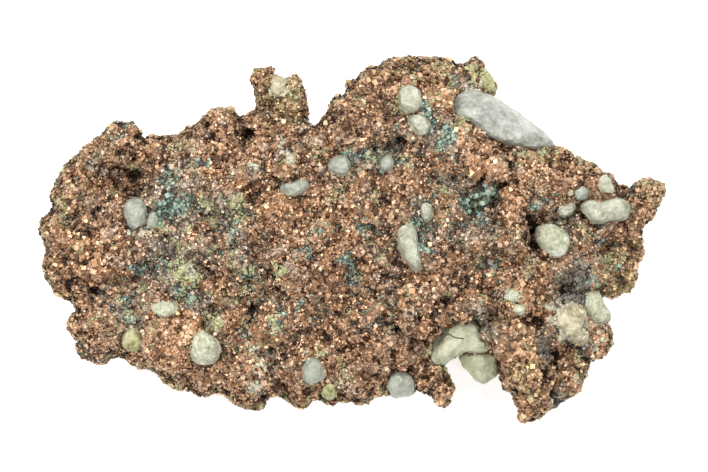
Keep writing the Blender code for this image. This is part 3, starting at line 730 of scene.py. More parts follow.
apply_modifier(body, "REMESH", mode="VOXEL", voxel_size=BODY_VOXEL)
apply_modifier(body, "DISPLACE", strength=-BODY_INSET, mid_level=0)
apply_modifier(body, "SMOOTH", factor=0.6, iterations=4)


def tree_of(mesh):
    """A search tree of a mesh's faces."""
    return BVHTree.FromPolygons([v.co for v in mesh.vertices], [p.vertices for p in mesh.polygons])


def pit_depth(ragged):
    """How deep the pits go at each place, in metres."""
    return patch_share(ragged, PITS) * np.clip((ragged[:, 2] - PIT_START) / PIT_RAMP, 0, 1)


smooth = points_of(body)
smooth[:, 2] -= pit_depth(broken(smooth))
body.data.vertices.foreach_set("co", smooth.ravel())
body.data.update()
chip_points, chip_faces = [], []
for chip in chips:
    base = len(chip_points)
    chip_points += [v.co.copy() for v in chip.data.vertices]
    chip_faces += [[base + i for i in p.vertices] for p in chip.data.polygons]
chip_tree = BVHTree.FromPolygons(chip_points, chip_faces)


def stone_gaps(points):
    """How far each place is from the nearest chip, below 0 inside one."""
    found = []
    for point in points:
        near, out, _, gap = chip_tree.find_nearest(Vector(point))
        found.append(math.copysign(gap, (Vector(point) - near).dot(out)))
    return np.array(found)


places, outward = scattered(body.data, CANDIDATE_KNOTS, rng)
big = np.arange(len(places)) < BIG_SHARE * len(places)
ragged = broken(places)
coarse = np.clip(patch_share(ragged, COARSE) + BACK_COARSE * (outward[:, 2] < -0.3), 0, 1)
wide = BIG_RADIUS[0] + (BIG_RADIUS[1] - BIG_RADIUS[0]) * coarse
radius = np.where(big, wide, rng.uniform(*SMALL_RADIUS, len(places)))
radius = radius * rng.uniform(*KNOT_RANGE, len(places))
lift = np.where(big, BIG_LIFT, SMALL_LIFT)
centres = places + (lift * radius)[:, None] * outward
radius = np.minimum(radius, edge_room(centres) - RIM_NOTCH)
radius = np.minimum(radius, stone_gaps(centres) - KNOT_ROOM)
fits = (radius > LEAST_KNOT) & (pit_depth(ragged) < PIT_CLEAR)
centres, radius, big = centres[fits], radius[fits], big[fits]
body_tree = tree_of(body.data)
for px, py, reach in LUMPS:
    x, y = spot(px, py)
    top = body_tree.ray_cast(Vector((x, y, 0.03)), Vector((0, 0, -1)))[0]
    if top is not None:
        middle = min(top.z - LUMP_SINK * reach * PX, cad_high[2] - reach * PX - LUMP_ROOM)
        centres = np.vstack([[x, y, middle], centres])
        radius = np.concatenate([[reach * PX], radius])
        big = np.concatenate([[True], big])
lumps = slice(0, len(LUMPS))
room = np.maximum(edge_room(centres[lumps]) - KNOT_ROOM, LEAST_LUMP)
radius[lumps] = np.minimum(radius[lumps], room)
kept = thinned(centres, radius * np.where(big, BIG_GAP, SMALL_GAP))
centres, radius = centres[kept], radius[kept]

steps = np.diff(np.vstack([RIM, RIM[:1]]), axis=0)
lengths = np.linalg.norm(steps, axis=1)
walked = rng.uniform(0, lengths.sum(), int(lengths.sum() / RIM_STEP))
side = np.searchsorted(np.cumsum(lengths), walked)
share = rng.random(len(walked))[:, None]
inward = np.stack([steps[side, 1], -steps[side, 0]], 1) / lengths[side, None]
rim_plan = RIM[side] + share * steps[side] + inward * rng.uniform(*RIM_KNOB, len(walked))[:, None] * PX
rim_lift = RIM_HEIGHT + rng.normal(0, RIM_SPREAD, len(walked))
rim_centres = np.column_stack([rim_plan, rim_lift])
rim_radius = edge_room(rim_centres) - RIM_ROOM
fits = (rim_radius > RIM_LEAST * RIM_KNOB[0] * PX) & (rim_radius < RIM_KNOB[1] * PX)
fits &= stone_gaps(rim_centres) > rim_radius
fits &= np.array([body_tree.find_nearest(Vector(p))[3] for p in rim_centres]) < RIM_TOUCH * rim_radius
rim_centres, rim_radius = rim_centres[fits], rim_radius[fits]
kept = thinned(rim_centres, rim_radius * RIM_GAP)
centres = np.concatenate([centres, rim_centres[kept]])
radius = np.concatenate([radius, rim_radius[kept]])

ball = bmesh.new()
bmesh.ops.create_icosphere(ball, subdivisions=2, radius=1)
ball_form = solid_form([v.co for v in ball.verts])
ball.free()
stretch = radius[:, None] * rng.uniform(*KNOT_STRETCH, (len(radius), 3))
knots = array_mesh("knots", *copies(ball_form, centres, stretch, turns(len(radius), rng)))
join(body, [knots])
apply_modifier(body, "REMESH", mode="VOXEL", voxel_size=SKIN_VOXEL)
roughen(body, "CLOUDS", GRAIN_SCALE, GRAIN_DEPTH)
knot_tree = KDTree(len(centres))
for i, centre in enumerate(centres):
    knot_tree.insert(centre, i)
knot_tree.balance()
knot_tint = rng.random(len(centres))
evened = body.copy()
evened.data = body.data.copy()
bpy.context.scene.collection.objects.link(evened)
apply_modifier(evened, "SMOOTH", factor=0.5, iterations=EVENING)
even_tree = tree_of(evened.data)
bpy.data.objects.remove(evened)

# Tarnish, by kind, each a list of patches: name, middle and half widths in pixels, turn and strength.
# Verdigris is a blue-green crust in the hollows, lime and chalk are rock dust, and soot is black oxide.
# Bright is where the metal's own pink shows, and grey, olive and red are casts of its brown film.
VERDIGRIS = [
    ("blue valley", 171, 210, 26, 12, 23, 0.95),
    ("valley's head", 171, 181, 8, 6, 73, 0.8),
    ("left upper streak", 205, 160, 13, 4, 20, 0.7),
    ("upper fleck", 256, 166, 6, 6, 0, 0.8),
    ("tower foot", 300, 127, 6, 8, 0, 0.5),
    ("left centre fleck", 242, 212, 9, 7, 0, 0.7),
    ("left centre drop", 236, 230, 5, 8, 0, 0.7),
    ("lower left haze", 185, 296, 14, 10, -58, 0.85),
    ("centre left streak", 249, 278, 8, 12, 0, 0.7),
    ("left fleck", 137, 267, 8, 6, 0, 0.6),
    ("left drop", 164, 263, 9, 6, -32, 0.75),
    ("lower left fleck", 124, 305, 7, 8, 0, 0.6),
    ("lower left drop", 136, 317, 8, 6, 47, 0.75),
    ("centre fleck", 319, 228, 6, 6, 0, 0.75),
    ("centre right fleck", 364, 229, 9, 5, 10, 0.8),
    ("centre drop", 305, 252, 7, 7, 0, 0.75),
    ("middle fleck", 348, 260, 9, 8, 45, 0.85),
    ("middle drop", 350, 278, 8, 5, 60, 0.75),
    ("lower centre streak", 302, 301, 6, 9, 0, 0.75),
    ("lower centre haze", 279, 321, 8, 10, -74, 0.7),
    ("upper right heart", 446, 139, 18, 10, 69, 1.0),
    ("upper blue streak", 427, 117, 17, 6, -73, 0.9),
    ("upper middle streak", 362, 157, 24, 6, -8, 0.85),
    ("upper middle drop", 385, 163, 11, 7, -87, 0.8),
    ("upper middle fleck", 403, 163, 5, 5, 0, 0.75),
    ("green hollow", 477, 201, 20, 13, 35, 1.0),
    ("green hollow foot", 482, 221, 8, 7, 30, 0.85),
    ("right streak", 531, 208, 8, 4, 0, 0.7),
    ("right haze", 556, 226, 8, 6, 0, 0.5),
    ("right end streak", 598, 241, 12, 4, 0, 0.6),
    ("right end fleck", 620, 263, 6, 4, 0, 0.6),
    ("lower right fleck", 593, 279, 5, 5, -80, 0.75),
    ("centre right hollow", 421, 244, 8, 6, 51, 0.8),
    ("centre right streak", 417, 226, 10, 5, -50, 0.75),
    ("nodule's side", 309, 358, 6, 5, -48, 0.6),
    ("tooth's side", 466, 350, 7, 4, 72, 0.7),
]
LIME = [
    ("yellow valley", 188, 273, 18, 11, -50, 1.0),
    ("left lime", 212, 206, 8, 6, 11, 0.9),
    ("left lime drop", 240, 205, 14, 6, 63, 0.8),
    ("haze", 218, 320, 9, 6, -60, 0.85),
    ("haze right", 200, 298, 10, 4, -3, 0.75),
    ("lower stroke", 281, 329, 10, 4, 7, 0.85),
    ("lower fleck", 274, 319, 5, 4, -85, 0.75),
    ("left stroke", 246, 285, 11, 4, 33, 0.8),
    ("left fleck", 251, 273, 5, 4, 1, 0.8),
    ("centre lime", 279, 271, 8, 5, -34, 0.9),
    ("upper lime", 291, 160, 8, 9, -28, 0.75),
    ("upper lime right", 318, 150, 9, 8, 0, 0.5),
    ("upper left lime", 281, 144, 5, 5, 74, 0.75),
    ("crown lime", 412, 78, 6, 5, 0, 0.85),
    ("boulder's lime", 400, 97, 7, 4, 77, 0.85),
    ("below the boulder", 406, 160, 6, 4, -47, 0.75),
    ("ledge lime", 449, 80, 9, 4, 82, 1.0),
    ("shard's cheek", 456, 122, 10, 5, 57, 0.9),
    ("left edge lime", 62, 172, 6, 7, 0, 0.6),
    ("valley lime", 160, 228, 10, 4, 0, 0.6),
    ("valley lime right", 189, 227, 5, 4, 60, 0.7),
    ("crust lime", 478, 74, 10, 6, 30, 0.9),
    ("shard heel", 464, 124, 9, 5, -30, 0.8),
    ("shard toe", 543, 151, 8, 5, 0, 0.9),
    ("right lime", 560, 270, 8, 8, 0, 0.4),
    ("plain lime", 606, 262, 18, 12, 0, 0.45),
    ("nodule's lime", 319, 353, 6, 4, -72, 0.75),
    ("arch's cheek", 433, 347, 8, 4, 40, 0.7),
    ("lower lime", 440, 366, 6, 5, 0, 0.5),
    ("left knob's lime", 196, 345, 9, 3.5, 55, 0.7),
]
CHALK = [
    ("left upper streak", 90, 166, 11, 5, -21, 0.85),
    ("stringer head", 246, 333, 7, 4, -62, 0.85),
    ("stringer neck", 255, 346, 4, 8, 20, 0.7),
    ("stringer body", 260, 366, 4, 10, 0, 0.8),
    ("stringer foot", 257, 387, 5, 9, -10, 0.8),
    ("lens heel", 321, 170, 7, 5, 30, 0.85),
    ("upper stroke", 289, 156, 20, 5, -61, 0.85),
    ("tower foot stroke", 301, 126, 9, 4, -35, 0.8),
    ("upper fleck", 257, 167, 6, 4, 74, 0.8),
    ("yellow valley's crest", 190, 271, 12, 4, -44, 0.75),
    ("upper right glow", 448, 150, 7, 5, 80, 0.7),
    ("shard cap", 478, 92, 16, 7, -20, 0.95),
    ("shard rim", 505, 101, 9, 3, -40, 0.8),
    ("ledge chalk", 449, 76, 7, 3.5, 81, 0.75),
    ("crown fleck", 434, 59, 6, 3.5, -12, 0.85),
    ("crown dot", 410, 78, 4, 3, 5, 0.8),
    ("valley dot", 162, 184, 5, 4, -8, 0.8),
    ("right fleck", 594, 261, 6, 5, 69, 0.85),
    ("right stroke", 565, 208, 8, 3.5, 32, 0.8),
    ("splinter's end", 578, 196, 6, 4, 10, 0.8),
    ("wedge's rim", 603, 184, 8, 6, -59, 0.8),
    ("knuckle neck", 589, 296, 8, 5, 69, 0.85),
    ("crust strip", 594, 345, 10, 5, 35, 0.9),
    ("lower stroke", 280, 331, 8, 3.5, 11, 0.7),
    ("tower smear", 280, 88, 12, 9, -70, 0.9),
    ("crust halo", 568, 322, 27, 18, -54, 0.9),
    ("knuckle halo", 597, 311, 20, 9, -70, 0.75),
    ("grain halo", 514, 299, 14, 6, -65, 0.7),
    ("lower right dust", 580, 378, 14, 10, 0, 0.35),
    ("tablet's foot", 141, 230, 8, 6, 0, 0.6),
]
SOOT = [
    ("right hollow", 572, 283, 19, 22, 0, 1.0),
    ("column side", 543, 345, 9, 22, 0, 0.95),
    ("lower right foot", 565, 402, 16, 9, 0, 0.8),
    ("lower right side", 584, 356, 8, 6, 0, 0.7),
    ("ledge plate", 458, 81, 6, 9, 0, 0.9),
    ("crown edge", 470, 60, 14, 6, 0, 0.6),
    ("tooth heel", 464, 361, 5, 9, 0, 0.9),
    ("valley heart", 174, 212, 9, 7, 0, 0.5),
]
BRIGHT = [
    ("left flank", 100, 252, 18, 26, 0, 0.5),
    ("lower left boulder", 172, 342, 30, 30, 0, 0.55),
    ("boulder's brow", 187, 334, 10, 11, 0, 0.8),
    ("crown crystals", 440, 99, 16, 12, 0, 1.0),
    ("shard foot", 471, 135, 15, 10, 0, 0.8),
    ("round boulder", 512, 208, 14, 17, 0, 0.6),
    ("twin boulder", 494, 170, 15, 16, 0, 0.5),
    ("small boulder", 473, 168, 8, 13, 0, 0.6),
    ("upper left field", 208, 172, 15, 14, 0, 0.7),
    ("centre left field", 248, 325, 16, 22, 0, 0.5),
    ("lower field", 222, 380, 15, 15, 0, 0.4),
    ("twin's foot", 288, 202, 20, 8, 0, 0.7),
    ("centre field", 330, 215, 60, 20, 0, 0.3),
    ("column", 524, 340, 20, 60, 0, 0.35),
    ("arm", 650, 200, 18, 24, 0, 0.1),
]
OLIVE = [
    ("plain", 615, 282, 24, 20, 0, 0.9),
    ("arm", 650, 200, 22, 28, 0, 0.6),
    ("column", 524, 350, 24, 74, 0, 0.6),
    ("left lobe", 60, 230, 24, 50, 0, 0.35),
    ("upper right", 425, 70, 40, 14, 0, 0.6),
    ("lower right", 580, 360, 30, 36, 0, 0.5),
    ("tower", 280, 98, 30, 34, 0, 0.85),
    ("right edge", 630, 250, 18, 40, 0, 0.6),
    ("lower edge", 240, 396, 60, 12, 0, 0.35),
]
GREY = [
    ("valley", 172, 200, 38, 24, 66, 0.7),
    ("lower left valley", 168, 263, 32, 24, -64, 0.8),
    ("right hollow", 573, 291, 26, 18, 30, 0.6),
    ("green hollow", 480, 206, 30, 20, -82, 0.6),
    ("left centre seam", 241, 256, 38, 10, -79, 0.9),
    ("left centre", 225, 208, 26, 13, 7, 0.8),
    ("lower left haze", 209, 315, 26, 10, -55, 0.7),
    ("upper middle", 374, 156, 30, 12, 7, 0.9),
    ("centre right", 421, 224, 32, 12, -84, 0.8),
    ("upper right seam", 435, 129, 34, 12, -78, 0.6),
    ("far left low", 130, 315, 19, 12, -30, 0.7),
    ("column side", 544, 348, 19, 8, 86, 0.9),
    ("behind the arch", 484, 322, 26, 12, -52, 0.5),
    ("middle", 349, 268, 19, 8, -82, 0.8),
    ("lower right", 582, 348, 11, 8, 19, 0.7),
    ("valley right", 211, 251, 12, 7, 32, 0.6),
    ("lower left edge", 99, 357, 20, 6, -2, 0.8),
    ("ledge", 458, 79, 9, 5, -73, 0.7),
    ("middle left", 286, 270, 11, 6, 14, 0.6),
    ("foot", 554, 401, 10, 5, 27, 0.8),
    ("lower edge", 423, 387, 16, 4, -31, 0.6),
]
RED = [
    ("lower centre", 309, 311, 46, 38, 57, 0.8),
    ("left lobe", 103, 245, 31, 24, 73, 1.0),
    ("left hollow", 127, 158, 21, 17, -19, 1.0),
    ("below the shard", 478, 152, 21, 16, -72, 1.0),
    ("upper centre", 277, 210, 24, 16, -32, 0.8),
    ("tower's foot", 260, 133, 28, 17, 72, 0.9),
    ("right of the arch", 406, 328, 21, 11, -48, 1.0),
    ("right shoulder", 550, 171, 18, 13, -56, 0.8),
    ("centre seam", 321, 251, 19, 7, -61, 0.8),
    ("centre ridge", 286, 247, 18, 6, 59, 0.8),
    ("twin boulder", 509, 178, 14, 8, 13, 0.9),
    ("above the blade", 388, 189, 12, 7, -51, 0.8),
    ("lower edge", 230, 372, 15, 8, -57, 0.7),
    ("column's head", 485, 292, 9, 5, 83, 0.9),
    ("lower left", 85, 291, 8, 6, -38, 0.8),
    ("column", 509, 379, 9, 6, -82, 0.8),
]
FINEST_VERDIGRIS, FINEST_LIME = 0.38, 0.44
DRIFT_SCALE, FINE_DRIFT_SCALE = 160, 420
FRONT_HEIGHT = 0.006
PATCH_FULL = 1.3
# Painted shade and light: how strongly the pits and the rim are darkened, and the side walls lightened,
# in the colour
PIT_SHADE = 260
RIM_SHADE, RIM_CAST, RIM_WIDTH = 0.45, 0.75, 0.0018
RIM_FOOT, SIDE_TOP, RIM_FADE = 0.0088, 0.0108, 0.002
SIDE_LIGHT = 0.35


def tarnish(points, height, chance):
    """The tarnish values of each place, as two RGBA rows: crusts, and the metal's own values with its
    height, which also carries painted shade in the pits and at the rim and painted light on the side
    walls.
    """
    front_side = np.clip(points[:, 2] / FRONT_HEIGHT, 0, 1)
    ragged = broken(points)
    drift = np.array([noise.noise(Vector(p) * DRIFT_SCALE) for p in points])
    red = patch_share(ragged, RED)
    grey = patch_share(ragged, GREY) - 0.8 * red
    rim = np.clip(1 - edge_room(points) / RIM_WIDTH, 0, 1)
    hidden = np.clip((drift - 0.12) * 4, 0, 0.8) * (1 - front_side)
    hidden_lime = np.clip((-drift - 0.25) * 4, 0, 0.6) * (1 - front_side)
    film = FINEST_VERDIGRIS * np.clip(drift * 2 + 0.35 + 0.8 * grey, 0, 1)
    verdigris = PATCH_FULL * patch_share(ragged, VERDIGRIS) * front_side
    verdigris = np.maximum(np.maximum(verdigris, hidden), film)
    fine_drift = np.array([noise.noise(Vector(p) * FINE_DRIFT_SCALE) for p in points])
    lime_film = FINEST_LIME * np.clip(fine_drift * 2.2 + 0.1 + 0.5 * grey, 0, 1) * front_side
    lime = PATCH_FULL * patch_share(ragged, LIME) * front_side
    lime = np.maximum(np.maximum(lime, hidden_lime), lime_film)
    chalk = PATCH_FULL * patch_share(ragged, CHALK) * front_side
    soot = patch_share(ragged, SOOT)
    bright = (patch_share(ragged, BRIGHT) + 0.2 * red) * front_side
    cast = np.maximum(patch_share(ragged, OLIVE), RIM_CAST * rim) - np.clip(grey, 0, 1)
    crusts = np.stack([verdigris, lime, chalk, soot], 1)
    rim_top = np.clip((points[:, 2] - RIM_FOOT) / RIM_FADE, 0, 1)
    # Painted shade and light: the height channel is lowered in the pits and along the rim's top, and
    # raised on the side walls below the rim, so the finish darkens or lightens the colour there
    height = height - PIT_SHADE * pit_depth(ragged) - RIM_SHADE * rim * rim_top
    height = height + SIDE_LIGHT * np.clip((SIDE_TOP - points[:, 2]) / RIM_FADE, 0, 1)
    metal = np.stack([chance, height, bright, cast], 1)
    return crusts, metal


def write_rows(piece, name, rows):
    """Writes an RGBA row or a number to each corner of a piece, for its finish to read."""
    kind, key = ("FLOAT", "value") if rows.ndim == 1 else ("FLOAT_COLOR", "color")
    layer = piece.data.attributes.new(name, kind, "POINT")
    layer.data.foreach_set(key, rows.ravel().astype(np.float32))


KNOT_HEIGHT = 0.00033


def heights(points):
    """How each place stands among its neighbours: 0 in a crevice, 1 on a knot's crown."""
    found = []
    for point in points:
        near, out, _, _ = even_tree.find_nearest(Vector(point))
        found.append((Vector(point) - near).dot(out))
    return np.clip(0.5 + np.array(found) / KNOT_HEIGHT / 2, 0, 1)


def knot_tints(points):
    """A tint for each place, the same all over one knot."""
    return np.array([knot_tint[knot_tree.find(point)[1]] for point in points])


def copper_finish(name, crystal):
    """Tarnished copper: brown to pink by the crystal, with its crusts lying in the low places and painted
    shade, near black, where the height channel is low.
    """
    bench = Bench(name)
    crusts = bench.node("Attribute", {"attribute_name": "crusts"}, {}, "Color")
    soot = bench.node("Attribute", {"attribute_name": "crusts"}, {}, "Alpha")
    metal = bench.node("Attribute", {"attribute_name": "metal"}, {}, "Color")
    cast = bench.node("Attribute", {"attribute_name": "metal"}, {}, "Alpha")
    verdigris = bench.node("SeparateColor", {}, {0: crusts}, 0)
    lime = bench.node("SeparateColor", {}, {0: crusts}, 1)
    chalk = bench.node("SeparateColor", {}, {0: crusts}, 2)
    chance = bench.node("SeparateColor", {}, {0: metal}, 0)
    height = bench.node("SeparateColor", {}, {0: metal}, 1)
    bright = bench.node("SeparateColor", {}, {0: metal}, 2)
    tint = bench.node("Attribute", {"attribute_name": "tint"}, {}, "Fac")
    clouds = bench.speckle(330, 3)
    flecks = bench.speckle(2600, 3, 0.7)
    curds = bench.speckle(1200, 3, 0.6)
    own = bench.node("Math", {"operation": "FRACT"}, {0: 7.31 * chance})
    hue = 0.15 * own + 0.85 * tint
    lit = bench.node("Math", {"operation": "POWER"}, {0: chance, 1: 0.55})
    tone = 0.68 * lit + 0.12 * tint + 0.22 * bright + 0.18 * clouds + 0.24 * flecks - 0.30
    colour = bench.ramp(tone, [
        (0.05, (0.068, 0.034, 0.020)),
        (0.22, (0.225, 0.118, 0.066)),
        (0.42, (0.450, 0.266, 0.152)),
        (0.62, (0.650, 0.425, 0.265)),
        (0.80, (0.850, 0.590, 0.395)),
        (0.98, (0.970, 0.800, 0.640)),
    ])
    taupe = bench.ramp(tone, [
        (0.05, (0.055, 0.042, 0.032)),
        (0.40, (0.330, 0.255, 0.190)),
        (0.70, (0.600, 0.500, 0.390)),
        (1.00, (0.900, 0.830, 0.730)),
    ])
    dusty = bench.ramp(tone, [
        (0.05, (0.060, 0.042, 0.020)),
        (0.40, (0.350, 0.250, 0.130)),
        (0.70, (0.630, 0.480, 0.280)),
        (1.00, (0.900, 0.780, 0.560)),
    ])
    oxide = bench.speckle(150, 4, 0.6)
    greyed = 0.4 * hue + 0.7 * oxide - 0.6 * cast - 0.3 * bright
    colour = bench.blend(bench.between(greyed, 0.42, 0.95), colour, taupe)
    colour = bench.blend(bench.between(cast + 0.5 * clouds - 0.5 * hue, 0.20, 0.90), colour, dusty)
    sooted = bench.between(soot - 0.45 * chance + 0.2 * clouds, 0.12, 0.55)
    grey = bench.ramp(flecks + 0.3 * hue - 0.15, [
        (0.3, (0.02, 0.02, 0.018)), (0.55, (0.16, 0.15, 0.13)), (0.75, (0.5, 0.47, 0.4))])
    colour = bench.blend(0.7 * sooted, colour, grey)
    low = 1.0 - bench.between(height, 0.0, 1.0)
    crust = 0.85 * curds - 0.14 * chance - 0.29
    green_on = bench.between(verdigris * (0.50 + 0.50 * low) + crust, 0.38, 0.56)
    green = bench.ramp(0.7 * own + 0.5 * flecks - 0.05 - 0.1 * low, [
        (0.20, (0.020, 0.045, 0.058)),
        (0.38, (0.090, 0.172, 0.133)),
        (0.60, (0.220, 0.350, 0.265)),
        (0.88, (0.470, 0.590, 0.490)),
    ])
    colour = bench.blend(0.9 * green_on, colour, green)
    lime_on = bench.between(lime * (0.6 + 0.4 * low) + crust, 0.38, 0.56)
    yellow = bench.ramp(flecks, [
        (0.3, (0.24, 0.23, 0.09)), (0.5, (0.44, 0.44, 0.22)), (0.7, (0.60, 0.60, 0.40))])
    colour = bench.blend(0.9 * lime_on, colour, yellow)
    chalk_on = bench.between(chalk * (0.7 + 0.3 * low) + crust, 0.38, 0.56)
    cream = bench.ramp(flecks, [(0.3, (0.36, 0.33, 0.22)), (0.6, (0.60, 0.58, 0.45))])
    colour = bench.blend(0.9 * chalk_on, colour, cream)
    bare = (1.0 - green_on) * (1.0 - lime_on) * (1.0 - chalk_on) * (1.0 - 0.6 * sooted)
    # Painted shade: the colour goes to near black in crevices, pits, the rim and the crystals' feet,
    # where the height channel is low
    colour = bench.blend(bench.between(height, -0.17, 0.50), rgb(0.024, 0.012, 0.008), colour)
    shine = 0.85 if crystal else 0.30
    bench.surface(
        Base_Color=colour,
        Metallic=shine * bare,
        Roughness=0.30 + 0.22 * flecks + 0.16 * hue + 0.30 * (1.0 - bare),
        Normal=bench.bump(flecks, 0.2, 0.00005),
    )
    return bench.material


SKIN_SHADE = 0.35
SKIN_CHANCE_SCALE = 1500
SKIN_LOW, SKIN_TOP_ROOM = 0.00012, 0.0002
corners = points_of(body)
corners[:, 2] = np.clip(corners[:, 2], SKIN_LOW, cad_high[2] - SKIN_TOP_ROOM)
body.data.vertices.foreach_set("co", corners.ravel())
body.data.update()
skin_chance = np.array([0.5 + 0.5 * noise.noise(Vector(p) * SKIN_CHANCE_SCALE) for p in corners])
# Painted shade: the whole skin is darkened by SKIN_SHADE, so that it shows dark between the crystals
crusts, metal = tarnish(corners, heights(corners) - SKIN_SHADE, skin_chance)
write_rows(body, "crusts", crusts)
write_rows(body, "metal", metal)
write_rows(body, "tint", knot_tints(corners))
bpy.ops.object.shade_smooth()
body.data.materials.clear()
body.data.materials.append(copper_finish("copper_skin", False))
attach(body, "root")
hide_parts("copper_mass")

# The crystals. Every knot is a crust of copper crystals half a millimetre across: cubes, octahedra and
# cubes with clipped corners, grown at all angles, so that some face always catches the light.
CRYSTAL_SEED = 5
CRYSTAL_SPACING = 0.00029
CRYSTAL_RANGE = (0.72, 1.30)
BACK_SPACING = 0.00064
COARSE_SPACING = 0.00005
CRYSTAL_SINK = (-0.22, 0.28)
CRYSTAL_LEAN = 0.75
FOOT_SHADE, FOOT_LINE = 1.30, 0.25
BIG_CRYSTALS = 0.002
BIG_SPACING = 0.00048
COLLAR_SPACING = 0.00032
COLLAR_REACH = (0.00010, 0.00075)
WIDE_COLLARS, WIDE_COLLAR = ("calcite_crust_stone", "epidote_crust_stone"), 2.6
LAP_SCALE = 800
CANDIDATES = 400000
PIECE_TRIANGLES = 190000
CHIP_COVER, CHIP_CLEAR = 0.0035, 0.00012
CRYSTAL_SHARE, CRYSTAL_STRETCH = 0.62, (0.78, 1.25)
GROWN_SPREAD, GROWN_RANGE = 0.20, (0.65, 1.5)
BOX_ROOM = 0.00001
rng = np.random.default_rng(CRYSTAL_SEED)
places, outward = scattered(body.data, CANDIDATES, rng)
coarse = patch_share(broken(places), COARSE)
back = np.clip((-outward[:, 2] - 0.1) * 3, 0, 1) * np.clip((0.009 - places[:, 2]) / 0.003, 0, 1)
spacing = CRYSTAL_SPACING + (BACK_SPACING - CRYSTAL_SPACING) * back + COARSE_SPACING * coarse
spacing *= rng.uniform(*CRYSTAL_RANGE, len(places))
early = np.arange(len(places)) < BIG_CRYSTALS * len(places)
wanted = 0.10 + 0.75 * patch_share(broken(places), BRIGHT) + 0.2 * coarse
spacing = np.where(early & (rng.random(len(places)) < wanted) & (back < 0.5), BIG_SPACING, spacing)
kept = thinned(places, spacing)
places, outward, spacing = places[kept], outward[kept], spacing[kept]
clear = []
for place in places:
    above = chip_tree.ray_cast(Vector(place), Vector((0, 0, 1)), CHIP_COVER)[0] is not None
    near = chip_tree.find_nearest(Vector(place), CHIP_CLEAR)[0] is not None
    clear.append(not above and not near)
clear = np.array(clear)
places, outward, spacing = places[clear], outward[clear], spacing[clear]
buried = np.maximum(patch_share(broken(places), CHALK), 0.75 * patch_share(broken(places), LIME))
bare = (buried < rng.uniform(0.4, 0.9, len(places))) | (places[:, 2] < 0.006)
places, outward, spacing = places[bare], outward[bare], spacing[bare]
skin_tree = tree_of(body.data)
for chip in chips:
    area = sum(p.area for p in chip.data.polygons)
    on_chip, facing = scattered(chip.data, int(area / COLLAR_SPACING**2 * 4), rng)
    gap = np.array([skin_tree.find_nearest(Vector(p))[3] for p in on_chip])
    lap = np.array([noise.noise(Vector(p) * LAP_SCALE) for p in on_chip]) * 0.5 + 0.5
    reach = COLLAR_REACH[1] * (WIDE_COLLAR if chip.name in WIDE_COLLARS else 1)
    lapped = (gap < COLLAR_REACH[0] + (reach - COLLAR_REACH[0]) * lap**2) & (facing[:, 2] > -0.2)
    on_chip, facing = on_chip[lapped], facing[lapped]
    if len(on_chip):
        kept = thinned(on_chip, np.full(len(on_chip), COLLAR_SPACING))
        places = np.concatenate([places, on_chip[kept]])
        outward = np.concatenate([outward, facing[kept]])
        spacing = np.concatenate([spacing, np.full(len(kept), COLLAR_SPACING)])
count = len(places)
cube = [(x, y, z) for x in (-1, 1) for y in (-1, 1) for z in (-1, 1)]
sixths = [i * math.pi / 3 for i in range(6)]
octahedron = [
    (1.1 * math.cos(turn), 1.1 * math.sin(turn), 0.8 * (-1) ** i) for i, turn in enumerate(sixths)
]
clipped = [(a, b, 0) for a in (-1.2, 1.2) for b in (-1.2, 1.2)]
clipped += [(a, 0, b) for a in (-1.2, 1.2) for b in (-1.2, 1.2)]
clipped += [(0, a, b) for a in (-1.2, 1.2) for b in (-1.2, 1.2)]
FORMS = [solid_form(cube), solid_form(octahedron), solid_form(clipped)]
kind = rng.choice(3, count, p=[0.36, 0.40, 0.24])
grown = np.clip(rng.lognormal(0, GROWN_SPREAD, count), *GROWN_RANGE)
grown *= 1 + 0.35 * patch_share(broken(places), BRIGHT)
size = spacing * CRYSTAL_SHARE * grown
size = size[:, None] * rng.uniform(*CRYSTAL_STRETCH, (count, 3))
spins = tilted(outward, CRYSTAL_LEAN, rng)
chance = rng.random(count)
height = heights(places)
crusts, metal = tarnish(places, height, chance)
tint = knot_tints(places)
places = places - outward * (rng.uniform(*CRYSTAL_SINK, count) * spacing)[:, None]
triangles_each = np.array([len(form[1]) for form in FORMS])[kind]


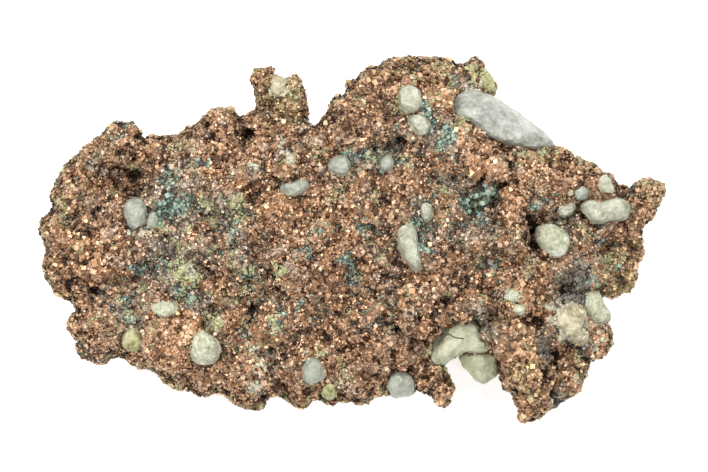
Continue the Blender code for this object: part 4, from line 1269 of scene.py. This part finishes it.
def cell_map(piece, cells, cell_count):
    """A map for export with a square cell for each crystal, which all of its faces share."""
    across = math.ceil(math.sqrt(cell_count))
    corner = np.array([(0.15, 0.15), (0.85, 0.15), (0.5, 0.85)])
    origin = np.stack([cells % across, cells // across], 1)
    layer = piece.data.uv_layers.new(name="OFBake")
    cells_uv = (origin[:, None, :] + corner[None]) / across
    layer.data.foreach_set("uv", cells_uv.ravel().astype(np.float32))


order = np.argsort(places[:, 0])
bands = np.array_split(order, int(triangles_each.sum() / PIECE_TRIANGLES) + 1)
crystal_copper = copper_finish("copper_crystals", True)
for number, band in enumerate(bands, 1):
    points, triangles, crust_rows, metal_and_shade_rows, tint_rows, cell_rows = [], [], [], [], [], []
    base = done = 0
    for form_number, form in enumerate(FORMS):
        mine = band[kind[band] == form_number]
        some, faces = copies(form, places[mine], size[mine], spins[mine])
        points.append(some)
        triangles.append(faces + base)
        base += len(some)
        crust_rows.append(np.repeat(crusts[mine], len(form[0]), axis=0))
        gone = some.reshape(len(mine), -1, 3) - places[mine][:, None, :]
        rise = np.einsum("nki,ni->nk", gone, outward[mine]) / size[mine].mean(1)[:, None]
        metal_and_shade_row = np.repeat(metal[mine], len(form[0]), axis=0)
        # Painted shade: each crystal's corners get darker from the foot line down to its foot
        metal_and_shade_row[:, 1] += FOOT_SHADE * (np.clip(rise, -1, FOOT_LINE).ravel() - FOOT_LINE)
        metal_and_shade_rows.append(metal_and_shade_row)
        tint_rows.append(np.repeat(tint[mine], len(form[0])))
        cell_rows.append(np.repeat(np.arange(len(mine)) + done, len(form[1])))
        done += len(mine)
    points = np.concatenate(points)
    points = np.clip(points, np.array(cad_low) + BOX_ROOM, np.array(cad_high) - BOX_ROOM)
    crystals = array_mesh(f"copper_crystals_{number}", points, np.concatenate(triangles))
    write_rows(crystals, "crusts", np.concatenate(crust_rows))
    write_rows(crystals, "metal", np.concatenate(metal_and_shade_rows))
    write_rows(crystals, "tint", np.concatenate(tint_rows))
    cell_map(crystals, np.concatenate(cell_rows), len(band))
    crystals.data.materials.append(crystal_copper)
    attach(crystals, "root")
    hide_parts("copper_mass")
